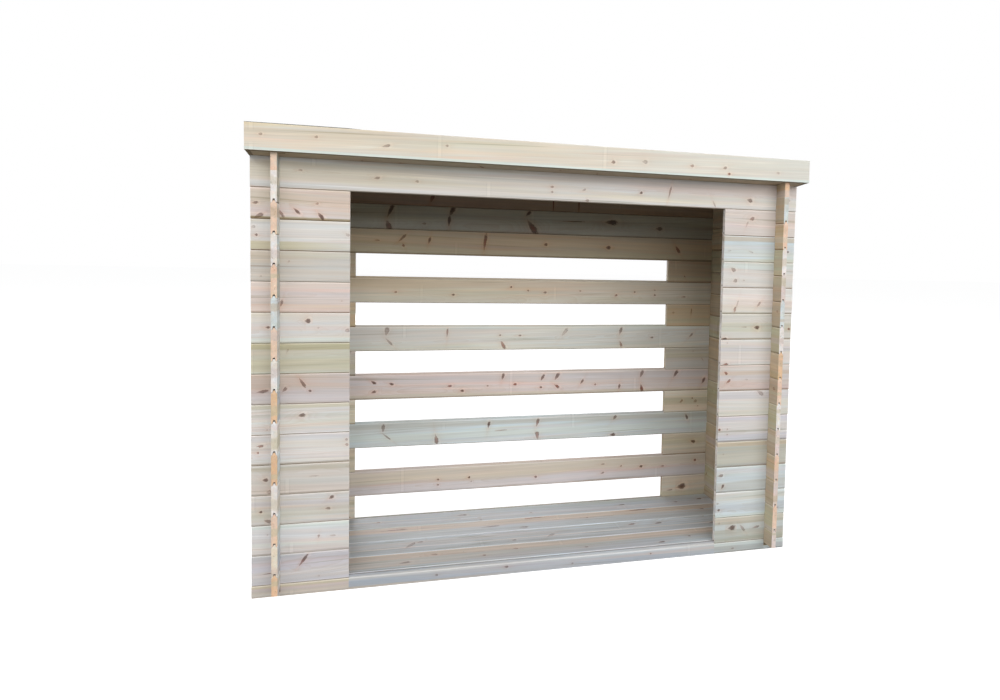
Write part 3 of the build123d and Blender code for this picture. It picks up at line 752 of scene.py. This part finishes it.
for k, pair in enumerate(zip(LEFT_PANEL, RIGHT_PANEL)):
    low = sill_top + k * LOG_H
    top = low + LOG_H
    for (tint, bands, knots), x in zip(pair, ends_x):
        slip = luck.uniform(0, SAW_SLIP)
        a, b = (wall_start + slip, -jamb) if x < 0 else (jamb, wall_end - slip)
        spots = {"minus": set_knots(low, *knots), "plus": scatter_knots(a, b, low, top, 0.2)}
        log = carried(log_profile(low, top), "x", front_mid, a, b, {"": tint, "end": "bone"}, spots,
                      crossings(low + CORE, top - CORE, (x,)), bands=bands)
        panels["ab"[k % 2]].append(log)
for half, logs in panels.items():
    make_piece(f"front_panel_logs_{half}", logs, front_timber, "front_logs", f"front_short_logs_{half}")

# ---------------------------------------------------------------------------
# Back wall: short logs at the ends of every other course leave six slots, whole
# logs between them are the slats, and three closed courses run above.
# ---------------------------------------------------------------------------
# Whole logs by course: tint inside, tint outside, bands, and knots on the face that shows inside.
BACK_WALL = {
    1: ("rose", "pale", [(0.085, 0.026, "straw", 0.6), (0.025, 0.02, "lilac", 0.7)],
        [(-0.39, 0.057, 0.0045, 1.3, 0, 0.9), (-0.39, 0.031, 0.004, 1.3, 0, 0.9),
         (-0.24, 0.058, 0.005, 1.5, 0.3, 1.0), (-0.23, 0.038, 0.003, 1.4, 0, 0.5),
         (0.09, 0.041, 0.0055, 1.3, 0, 0.9), (0.44, 0.086, 0.0035, 3, 0, 0.6),
         (0.44, 0.04, 0.0045, 2.0, 0.3, 0.7), (0.54, 0.07, 0.004, 1.6, 0.6, 0.7),
         (0.65, 0.062, 0.006, 1.4, 0.3, 1.0), (0.77, 0.058, 0.0035, 2.5, 0, 0.8),
         (0.955, 0.08, 0.006, 1.2, 0, 1.0)]),
    3: ("ice", "moss", [(0.045, 0.016, "mint", 0.7), (0.1, 0.012, "drab", 0.6)],
        [(-0.645, 0.088, 0.007, 2.6, 1.5, 0.7), (-0.63, 0.05, 0.0035, 6.0, -0.7, 0.7),
         (-0.4, 0.028, 0.0085, 2.4, -1.4, 0.8), (-0.148, 0.086, 0.006, 2.4, 1.4, 1.0),
         (-0.09, 0.057, 0.0016, 18, 0.03, 0.8), (0.095, 0.088, 0.007, 2.6, 1.3, 0.85),
         (0.095, 0.025, 0.009, 2.4, 1.7, 0.8), (0.5, 0.098, 0.007, 1.8, 0.9, 0.8),
         (0.49, 0.01, 0.008, 1.6, 0, 1.0), (0.9, 0.09, 0.0065, 2.0, -1.2, 0.9)]),
    5: ("pink", "pink", [(0.09, 0.02, "lilac", 0.5), (0.008, 0.01, "straw", 0.7)],
        [(-0.69, 0.08, 0.006, 2.4, -0.6, 1.0), (-0.69, 0.035, 0.0055, 2.0, 0.4, 0.9),
         (-0.61, 0.072, 0.0055, 1.8, -0.3, 1.0), (-0.34, 0.055, 0.005, 2.0, 0.1, 0.9),
         (-0.28, 0.031, 0.006, 1.4, 0, 1.0), (-0.157, 0.052, 0.0035, 1.4, 0, 0.8),
         (-0.082, 0.095, 0.0065, 2.4, 1.3, 0.9), (-0.023, 0.056, 0.0055, 1.6, 0.2, 1.0),
         (0.115, 0.084, 0.0065, 2.6, 1.1, 0.9), (0.108, 0.038, 0.005, 1.3, 0, 1.0),
         (0.19, 0.09, 0.008, 2.2, 1.0, 0.9), (0.19, 0.042, 0.0065, 2.0, -0.6, 1.0),
         (0.32, 0.06, 0.005, 2.6, 1.0, 0.9), (0.39, 0.045, 0.0045, 1.3, 0, 0.8),
         (0.52, 0.03, 0.006, 2.0, 1.4, 0.9), (0.64, 0.094, 0.0075, 2.8, 1.2, 0.8),
         (0.642, 0.022, 0.008, 2.2, -1.3, 1.0), (0.83, 0.09, 0.008, 2.4, 1.0, 0.9),
         (0.99, 0.05, 0.007, 2.4, 1.1, 0.9)]),
    7: ("sage", "chalk", [(0.06, 0.03, "pale", 0.4), (0.006, 0.006, "straw", 0.5)],
        [(-0.632, 0.092, 0.009, 2.0, 1.4, 0.6), (-0.622, 0.045, 0.0045, 4.4, -0.8, 0.6),
         (-0.353, 0.084, 0.0045, 4.0, 1.5, 0.75), (-0.085, 0.026, 0.0075, 3.0, -1.1, 0.85),
         (-0.1, 0.072, 0.004, 1.4, 0, 0.8), (-0.002, 0.07, 0.004, 1.8, 0, 0.8),
         (0.225, 0.085, 0.007, 3.0, 0.9, 0.45), (0.52, 0.09, 0.007, 2.4, 1.3, 0.8),
         (0.522, 0.024, 0.006, 2.4, -1.2, 0.8), (0.69, 0.055, 0.005, 1.6, 0.2, 0.8),
         (0.91, 0.065, 0.0045, 3.4, 0.8, 0.7)]),
    9: ("cream", "straw", [(0.092, 0.026, "honey", 0.8, -0.9, 0.9), (0.02, 0.014, "moss", 0.5)],
        [(-0.594, 0.05, 0.0042, 1.6, 0, 0.8), (-0.328, 0.04, 0.005, 1.3, 0, 1.0),
         (-0.049, 0.08, 0.0045, 1.2, 0.5, 1.0), (0.035, 0.064, 0.004, 1.3, 0, 0.8),
         (0.12, 0.055, 0.005, 1.5, 0, 0.8), (0.3, 0.065, 0.004, 1.5, 0, 0.6),
         (0.49, 0.044, 0.0048, 1.6, 0.6, 0.9), (0.59, 0.062, 0.004, 1.2, 0, 0.9),
         (0.7, 0.072, 0.0045, 1.2, 0, 0.9), (0.7, 0.048, 0.0045, 1.2, 0, 0.9),
         (0.86, 0.04, 0.003, 4, 0.05, 0.7)]),
    11: ("tan", "rose", [(0.015, 0.018, "khaki", 0.6), (0.07, 0.016, "honey", 0.5)],
         [(-0.566, 0.074, 0.0045, 4.2, 0.8, 0.8), (-0.561, 0.043, 0.0042, 1.8, -1.0, 0.8),
          (-0.441, 0.066, 0.0048, 2.4, 1.3, 0.9), (-0.179, 0.066, 0.006, 5.2, 1.45, 0.95),
          (0.119, 0.064, 0.006, 1.2, 0.2, 0.9), (0.442, 0.058, 0.0075, 1.3, 0, 1.0),
          (0.82, 0.06, 0.006, 2.8, -1.0, 0.9), (-0.68, 0.062, 0.003, 3, 0, 0.5)]),
    # Course 12's dark 'dusk' inside is partly its own darker wood and partly painted shade under the roof.
    12: ("dusk", "pale", [(0.03, 0.024, "drab", 0.4), (0.095, 0.016, "moss", 0.3)],
         [(-0.62, 0.085, 0.0065, 3.8, 1.15, 1.0), (-0.628, 0.02, 0.01, 1.8, -1.2, 0.9),
          (-0.338, 0.094, 0.008, 2.4, 1.1, 1.0), (-0.35, 0.046, 0.006, 3.0, 1.5, 1.0),
          (-0.467, 0.032, 0.004, 2.0, 0, 0.6), (0.03, 0.098, 0.006, 2.0, 0.8, 1.0),
          (0.05, 0.034, 0.011, 2.8, -0.95, 1.0), (0.25, 0.068, 0.0018, 26, 0.02, 0.9),
          (0.454, 0.072, 0.01, 2.4, 0, 1.0), (0.714, 0.048, 0.008, 1.8, 0, 0.9)]),
    13: ("brown", "cream", [],
         [(0.155, 0.035, 0.0022, 18, 1.571, 1.0), (0.285, 0.035, 0.0022, 18, 1.571, 1.0),
          (-0.431, 0.036, 0.006, 2.4, 1.2, 0.8)]),
}
SHORT_END_TINTS = ("cream", "straw", "butter", "linen", "honey", "tan")
FOOT_END_KNOTS = ((0.88, 0.055, 0.014, 1.7, 0.15, 1.0), (0.815, 0.04, 0.004, 4.0, 0.1, 0.6))
CLOSED = {11: "back_closed_log_1", 12: "back_closed_log_2", 13: "back_top_log"}
short_ends, slats = [], []
for n, tint in enumerate(SHORT_END_TINTS):
    low = sill_top + 2 * n * LOG_H
    top = low + LOG_H
    for a, b, x in ((wall_start, -jamb, -side_mid), (jamb, wall_end, side_mid)):
        first, last, apart = (jamb, side_mid, 0.16) if x > 0 else (a, b, 0.25)
        shown = scatter_knots(first, last, low, top, apart)
        if n == 0 and x > 0:
            shown = set_knots(low, *FOOT_END_KNOTS)
        band = (luck.uniform(0.01, 0.10), luck.uniform(0.006, 0.02), "khaki", 0.6)
        short_ends.append(carried(log_profile(low, top), "x", back_mid, a, b,
                                  {"": tint, "plus": "pale", "end": "tan"},
                                  {"minus": shown, "plus": scatter_knots(a, b, low, top, 0.25)},
                                  crossings(low + CORE, top - CORE, (x,)), bands=[band]))
make_piece("back_end_logs", short_ends, back_timber, "back_logs", "back_short_logs")
for k, (tint, rear, bands, knots) in BACK_WALL.items():
    low = sill_top + k * LOG_H
    last = CLOSED.get(k) == "back_top_log"          # its head is planed to the roof's fall
    head = roof_under(back_mid) if last else low + LOG_H
    spots = {"minus": set_knots(low, *knots, grown=1.25 if k in CLOSED else 1.05),
             "plus": scatter_knots(wall_start, wall_end, low, low + LOG_H)}
    log = carried(log_profile(low, head, tongue=not last), "x", back_mid, wall_start, wall_end,
                  {"": tint, "plus": rear, "end": "bone"}, spots,
                  crossings(low + CORE, roof_under if last else head - CORE, ends_x),
                  planed(head) if last else None, bands=bands)
    if k in CLOSED:
        make_piece(f"back_wall_log_{k}", [log], back_timber, "back_logs", CLOSED[k])
    else:
        slats.append(log)
make_piece("back_slats", slats, back_timber, "back_logs", "back_slat_logs")

# ---------------------------------------------------------------------------
# Lintel: the front wall's top log, in one length over the opening, its head
# planed to the roof's fall. The heart lies just behind its face, so its grain is bold.
# ---------------------------------------------------------------------------
LINTEL_KNOTS = ((-0.946, 0.069, 0.004, 1.8, 0, 0.5), (-0.676, 0.055, 0.005, 2.0, 0.2, 0.7),
                (-0.529, 0.05, 0.0045, 1.5, 0, 0.6), (0.0, 0.056, 0.0045, 1.6, 0, 0.7),
                (0.0, 0.036, 0.004, 1.4, 0, 0.6), (0.134, 0.05, 0.004, 2.0, 0.5, 0.5),
                (0.148, 0.008, 0.005, 1.4, 0, 0.6), (0.381, 0.05, 0.0048, 1.4, 0.4, 1.0),
                (0.51, 0.056, 0.004, 6.0, 1.35, 0.7), (0.716, 0.02, 0.0035, 4.0, -1.1, 0.5),
                (0.885, 0.042, 0.0085, 1.5, -0.2, 0.8), (1.08, 0.05, 0.004, 1.3, 0, 0.4))
low = lintel_low.z
spots = {"minus": set_knots(low, *LINTEL_KNOTS), "plus": scatter_knots(wall_start, wall_end, low, wall_top)}
lintel = carried(log_profile(low, wall_top, tongue=False), "x", front_mid, wall_start, wall_end,
                 {"": "pale", "end": "bone"}, spots, crossings(low + CORE, wall_top - CORE, ends_x),
                 planed(wall_top), pith=(-0.020, 0.062, 0.002, -0.004),
                 bands=[(0.06, 0.03, "straw", 0.7, -0.6, 0.3), (0.085, 0.03, "pink", 0.6, 0.9, -0.3)])
make_piece("lintel_log", [lintel], front_timber, "front_logs", "front_lintel_log")

# ---------------------------------------------------------------------------
# Roof frame: three sawn bearers laid flat along the walls and down the middle,
# with narrow boards nailed over them front to back. The same pine, left unplaned.
# ---------------------------------------------------------------------------
roof_timber = timber("sawn_roof_pine", Streaks=0.2, Ring_Depth=0.3)
DECK_COUNT, DECK_GAP, DECK_ARRIS = 18, 0.0004, 0.002
FRAME_H, DECK_T = 0.077, 0.018
TRIM_H = FRAME_H + DECK_T


def on_slope(y, share):
    """Raises every point by the roof's underside."""
    return roof_under(y)


for part in ("front", "middle", "rear"):
    low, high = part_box(f"roof_bearer_{part}")
    spots = {"bottom": scatter_knots(low.x, high.x, low.y, high.y, 0.35)}
    plate = carried(board_profile(high.y - low.y, 0.0, FRAME_H), "x", (low.y + high.y) / 2, low.x, high.x,
                    "tan", spots, lift=on_slope)
    make_piece(f"roof_plate_{part}", [plate], roof_timber, "roof_timber", f"roof_bearer_{part}")
deck_low, deck_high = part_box("roof_deck")
deck = []
deck_w = (deck_high.x - deck_low.x) / DECK_COUNT
for i in range(DECK_COUNT):
    x = deck_low.x + (i + 0.5) * deck_w
    spots = {"bottom": scatter_knots(deck_low.y, deck_high.y, x - deck_w / 2, x + deck_w / 2, 0.3)}
    tint = str(luck.choice(["tan", "straw", "honey"]))
    deck.append(carried(board_profile(deck_w - DECK_GAP, FRAME_H, TRIM_H, DECK_ARRIS), "y", x,
                        deck_low.y, deck_high.y, tint, spots, lift=on_slope))
make_piece("roof_boards", deck, roof_timber, "roof_timber", "roof_deck")

# ---------------------------------------------------------------------------
# Fascias and barge boards: planed boards nailed round the roof frame to hide it.
# ---------------------------------------------------------------------------
trim_timber = timber("planed_pine_trim", Stain=0.8)
TRIM_HALF = 0.009
trim_profile = log_profile(0.0, TRIM_H, False, False, TRIM_HALF)
FASCIA_KNOTS = ((-1.067, 0.056, 0.0045, 1.4, 0, 0.6), (-0.884, 0.058, 0.0045, 1.4, 0.2, 0.6),
                (-0.644, 0.042, 0.0048, 3.0, 0.3, 0.6), (-0.425, 0.057, 0.0045, 1.4, 0, 0.6),
                (0.227, 0.036, 0.006, 1.4, 0.2, 0.8), (0.362, 0.045, 0.0075, 1.4, 0, 0.5),
                (0.568, 0.041, 0.0055, 1.5, 0, 0.7), (0.717, 0.041, 0.0055, 1.6, 0.4, 0.7),
                (0.737, 0.017, 0.005, 1.3, 0, 1.0), (0.966, 0.034, 0.005, 1.5, 0, 0.4))
FASCIA_BANDS = ((0.05, 0.12, "sage", 0.75, 1.0, -0.2), (0.004, 0.005, "mint", 0.9),
                (0.06, 0.016, "straw", 0.6, -0.9, 0.9))
for part in ("front", "rear"):
    low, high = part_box(f"fascia_{part}")
    under = roof_under(low.y)
    shown = (set_knots(under, *FASCIA_KNOTS) if part == "front"
             else scatter_knots(low.x, high.x, 0, TRIM_H, 0.35))
    spots = {"minus": shown, "plus": scatter_knots(low.x, high.x, under, under + TRIM_H, 0.35)}
    board = carried(trim_profile, "x", (low.y + high.y) / 2, low.x, high.x, "cream", spots, lift=on_slope,
                    bands=FASCIA_BANDS)
    make_piece(f"{part}_fascia_board", [board], trim_timber, "trim_timber", f"fascia_{part}")
for part in ("left", "right"):
    low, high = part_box(f"barge_board_{part}")
    spots = {face: scatter_knots(low.y, high.y, wall_top, wall_top + TRIM_H, 0.35)
             for face in ("minus", "plus")}
    board = carried(trim_profile, "y", (low.x + high.x) / 2, low.y, high.y, "cream", spots, lift=on_slope,
                    bands=[(0.03, 0.02, "straw", 0.6)])
    make_piece(f"{part}_barge_board", [board], trim_timber, "trim_timber", f"barge_board_{part}")

# ---------------------------------------------------------------------------
# Roofing felt: bitumen sheet with mineral grit, laid over the boards and trimmed
# by hand along the front, so that its edge shows only at the left.
# ---------------------------------------------------------------------------
felt, tree, shader = new_finish("mineral_felt")
where = wire(tree, "TexCoord", out="Object")
grit = wire(tree, "TexNoise", {"Vector": where, "Scale": 900.0, "Detail": 2.0})
cloudy = wire(tree, "TexNoise", {"Vector": where, "Scale": 3.0, "Detail": 4.0})
patchy = wire(tree, "TexNoise", {"Vector": where, "Scale": 38.0, "Detail": 3.0})
rain = stretched_noise(tree, where, (34, 1.6, 1.6))          # faint runs down the fall
along_roof = work_out(tree, "SUBTRACT", wire(tree, "SeparateXYZ", {0: where}), deck_low.x)
in_board = work_out(tree, "FRACT", work_out(tree, "DIVIDE", along_roof, deck_w))
off_middle = work_out(tree, "ABSOLUTE", work_out(tree, "SUBTRACT", in_board, 0.5))
board_edge = ramp(tree, off_middle, 0.455, 0.5)              # the boards show through
tone = dye(tree, "MIX", grit, (0.026, 0.030, 0.028, 1), (0.120, 0.130, 0.118, 1))
for share, colour in ((ramp(tree, cloudy, 0.35, 0.65, 0.0, 0.7), (0.62, 0.68, 0.64, 1)),
                      (ramp(tree, patchy, 0.40, 0.62, 0.0, 0.5), (0.72, 0.70, 0.66, 1)),
                      (ramp(tree, rain, 0.52, 0.70, 0.0, 0.45), (1.35, 1.30, 1.22, 1)),
                      (work_out(tree, "MULTIPLY", board_edge, 0.55), (0.55, 0.55, 0.55, 1))):
    tone = dye(tree, "MULTIPLY", share, tone, colour)
feed(tree, shader, tone, work_out(tree, "MULTIPLY_ADD", grit, 0.15, 0.8),
     work_out(tree, "MULTIPLY_ADD", board_edge, -0.8, grit), 0.6, 0.0008)
felt_low, felt_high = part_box("roof_felt")
FELT_FOOT, FELT_TOP, FELT_ARRIS = TRIM_H, TRIM_H + 0.002, 0.0006
FELT_BACK = 0.024        # how far the front edge stops short of the fascia's face
EDGE_SHOWS = -0.76       # left of here the edge runs out to the face
EDGE_TURN = 0.10         # length over which it goes from the one to the other
HAND_CUT = 0.0012        # half the wander of a hand-cut edge
sheet = carried(board_profile(felt_high.y - felt_low.y, FELT_FOOT, FELT_TOP, FELT_ARRIS), "x",
                (felt_low.y + felt_high.y) / 2, felt_low.x, felt_high.x, "drab",
                lift=on_slope, marks=np.linspace(felt_low.x, felt_high.x, 60))
x, y, z = sheet["points"].T
trimmed = FELT_BACK * np.clip((x - EDGE_SHOWS) / EDGE_TURN, 0, 1) + HAND_CUT * (1 + np.sin(9 * x))
moved = np.where(y < 0, trimmed, -HAND_CUT * (1 + np.sin(7 * x)))
sheet["points"] = np.stack([x, y + moved, z + roof_under(y + moved) - roof_under(y)], 1)
make_piece("felt_sheet", [sheet], felt, "roofing_felt", "roof_felt")

# ---------------------------------------------------------------------------
# Nails: flat round clouts round the felt's edge, and two lost-head nails through
# each floor board into each bearer. Zinc-coated steel, driven home by hand.
# ---------------------------------------------------------------------------
CLOUT_R, CLOUT_H, CLOUT_INSET, CLOUT_SLIP = 0.0045, 0.0009, 0.014, 0.003
BRAD_R, BRAD_H, BRAD_INSET, BRAD_SLIP = 0.0021, 0.0003, 0.030, 0.004
CLOUTS_ALONG, CLOUTS_ACROSS = 13, 7
SLIP_ALONG = 0.006       # no nail is quite in line
NAIL_SIDES = 10
HEAD_TAPER = 0.82
zinc, tree, shader = new_finish("zinc_nail")
shader.inputs["Metallic"].default_value = 1.0
where = wire(tree, "TexCoord", out="Object")
dull = wire(tree, "TexNoise", {"Vector": where, "Scale": 420.0, "Detail": 3.0})
feed(tree, shader, dye(tree, "MIX", dull, (0.20, 0.20, 0.19, 1), (0.46, 0.47, 0.47, 1)),
     work_out(tree, "MULTIPLY_ADD", dull, 0.4, 0.32), dull, 0.4, 0.0004)


def nail_heads(name, feet, radius, height, slot):
    """Flat heads on the points 'feet': each a ring of points at the foot and a slightly smaller one at the
    top, radius * (cos, sin) of an even turn, closed above and below."""
    feet = np.array(feet)
    turn = np.arange(NAIL_SIDES) * 2 * math.pi / NAIL_SIDES
    disc = np.stack([np.cos(turn), np.sin(turn), 0 * turn], 1)
    rings = np.stack([disc * radius, disc * radius * HEAD_TAPER + (0, 0, height)])
    points = (feet[:, None, None, :] + rings[None]).reshape(-1, 3)
    k = np.arange(NAIL_SIDES)
    n = (k + 1) % NAIL_SIDES
    sides = np.stack([k, n, n + NAIL_SIDES, k + NAIL_SIDES], 1).tolist()
    one = sides + [k[::-1].tolist(), (k + NAIL_SIDES).tolist()]
    faces = [[c + i * 2 * NAIL_SIDES for c in face] for i in range(len(feet)) for face in one]
    mesh = bpy.data.meshes.new(name)
    mesh.from_pydata(points.tolist(), [], faces)
    seat(name, mesh, zinc, slot)


def off_line(x, y, slip):
    """Where the hand puts a nail that is meant for x, y."""
    return x + luck.uniform(-SLIP_ALONG, SLIP_ALONG), y + luck.uniform(-slip, slip)


feet = []
for x in np.linspace(felt_low.x + CLOUT_INSET, felt_high.x - CLOUT_INSET, CLOUTS_ALONG):
    feet += [(x, felt_low.y + CLOUT_INSET + FELT_BACK), (x, felt_high.y - CLOUT_INSET)]
for y in np.linspace(felt_low.y, felt_high.y, CLOUTS_ACROSS)[1:-1]:
    feet += [(felt_low.x + CLOUT_INSET, y), (felt_high.x - CLOUT_INSET, y)]
feet = [off_line(x, y, CLOUT_SLIP) for x, y in feet]
feet = [(x, y, roof_under(y) + FELT_TOP) for x, y in feet]
nail_heads("felt_clouts", feet, CLOUT_R, CLOUT_H, "roofing_felt")
feet = [(*off_line(x, y + side, BRAD_SLIP), floor_high.z) for x in bearer_places for y in board_places
        for side in (BRAD_INSET - BOARD_W / 2, BOARD_W / 2 - BRAD_INSET)]
nail_heads("floor_brads", feet, BRAD_R, BRAD_H, "floor_timber")

# ---------------------------------------------------------------------------
# Studio: a plain pale floor under an even white dome, and five wide soft lamps: two
# high in front, the brighter to the right, and one low on each of the other sides.
# ---------------------------------------------------------------------------
FLOOR_HALF = 60.0
corners = [(-FLOOR_HALF, -FLOOR_HALF, 0), (FLOOR_HALF, -FLOOR_HALF, 0),
           (FLOOR_HALF, FLOOR_HALF, 0), (-FLOOR_HALF, FLOOR_HALF, 0)]
floor_mesh = bpy.data.meshes.new("studio_floor")
floor_mesh.from_pydata(corners, [], [(0, 1, 2, 3)])
floor = bpy.data.objects.new("studio_floor", floor_mesh)
bpy.context.scene.collection.objects.link(floor)


def shown_or_lighting(tree, seen, lighting, shown, output):
    """One shader for what is seen, and another for what only lights the piece."""
    both = wire(tree, "MixShader", {0: seen, 1: lighting, 2: shown})
    tree.links.new(both, tree.nodes.new("ShaderNode" + output).inputs["Surface"])


paper = bpy.data.materials.new("pale_paper")
paper.use_nodes = True
tree = paper.node_tree
tree.nodes.clear()
lit = wire(tree, "BsdfDiffuse", {"Color": (0.8, 0.8, 0.8, 1)})
glow = wire(tree, "Emission", {"Color": (1, 1, 1, 1), "Strength": 1.8})
shown_or_lighting(tree, wire(tree, "LightPath", out="Is Camera Ray"),
                  wire(tree, "BsdfDiffuse", {"Color": (0.20, 0.20, 0.195, 1)}),
                  wire(tree, "MixShader", {0: 0.5, 1: lit, 2: glow}), "OutputMaterial")
floor_mesh.materials.append(paper)

world = bpy.data.worlds.new("white_dome")
world.use_nodes = True
tree = world.node_tree
tree.nodes.clear()
path = wire(tree, "LightPath").node.outputs
shown_or_lighting(tree, work_out(tree, "MAXIMUM", path["Is Camera Ray"], path["Is Glossy Ray"]),
                  wire(tree, "Background", {"Color": (0.97, 0.985, 1.0, 1), "Strength": 0.22}),
                  wire(tree, "Background", {"Color": (1, 1, 1, 1), "Strength": 1.0}), "OutputWorld")
bpy.context.scene.world = world

LAMP_FAR = 14.0
LAMP_AIM = Vector((0, 0, 0.8))
# In degrees, round from the front to the right, height, width and tallness; and level on a facing surface.
LAMPS = {
    "front_softbox": (20, 20, 60, 30, 0.82),
    "fill_softbox": (-32, 34, 44, 24, 0.36),
    "left_softbox": (-88, 14, 30, 20, 0.45),
    "right_softbox": (92, 14, 30, 20, 0.45),
    "rear_softbox": (188, 7, 40, 12, 0.62),
}
for name, (*angles, level) in LAMPS.items():
    turned, tilted, width, tall = map(math.radians, angles)
    lamp_data = bpy.data.lights.new(name, "AREA")
    lamp_data.shape = "RECTANGLE"
    lamp_data.size = 2 * LAMP_FAR * math.tan(width / 2)
    lamp_data.size_y = 2 * LAMP_FAR * math.tan(tall / 2)
    lamp_data.energy = level * (math.pi * LAMP_FAR) ** 2
    lamp = bpy.data.objects.new(name, lamp_data)
    bpy.context.scene.collection.objects.link(lamp)
    lamp.visible_camera = False
    out = math.cos(tilted)
    place = Vector((math.sin(turned) * out, -math.cos(turned) * out, math.sin(tilted))) * LAMP_FAR
    lamp.location = place + LAMP_AIM
    lamp.rotation_euler = (-place).to_track_quat("-Z", "Y").to_euler()

# Camera at the height of the opening, left of centre, turned a little to the right.
CAMERA_PLACE = (-0.6571, -3.2758, 1.2922)
YAW, PITCH, ROLL = 0.288, 0.059, 0.024
LENS, SHIFT_X, SHIFT_Y = 26.63, -0.100, -0.046
turn = (Matrix.Rotation(-YAW, 4, "Z") @ Matrix.Rotation(math.pi / 2 - PITCH, 4, "X")
        @ Matrix.Rotation(ROLL, 4, "Z"))
camera_data = bpy.data.cameras.new("camera")
camera_data.sensor_width = 36.0
camera_data.lens = LENS
camera_data.shift_x = SHIFT_X
camera_data.shift_y = SHIFT_Y
camera = bpy.data.objects.new("camera", camera_data)
bpy.context.scene.collection.objects.link(camera)
camera.matrix_world = Matrix.Translation(CAMERA_PLACE) @ turn
bpy.context.scene.camera = camera
bpy.context.scene.view_settings.view_transform = "Standard"
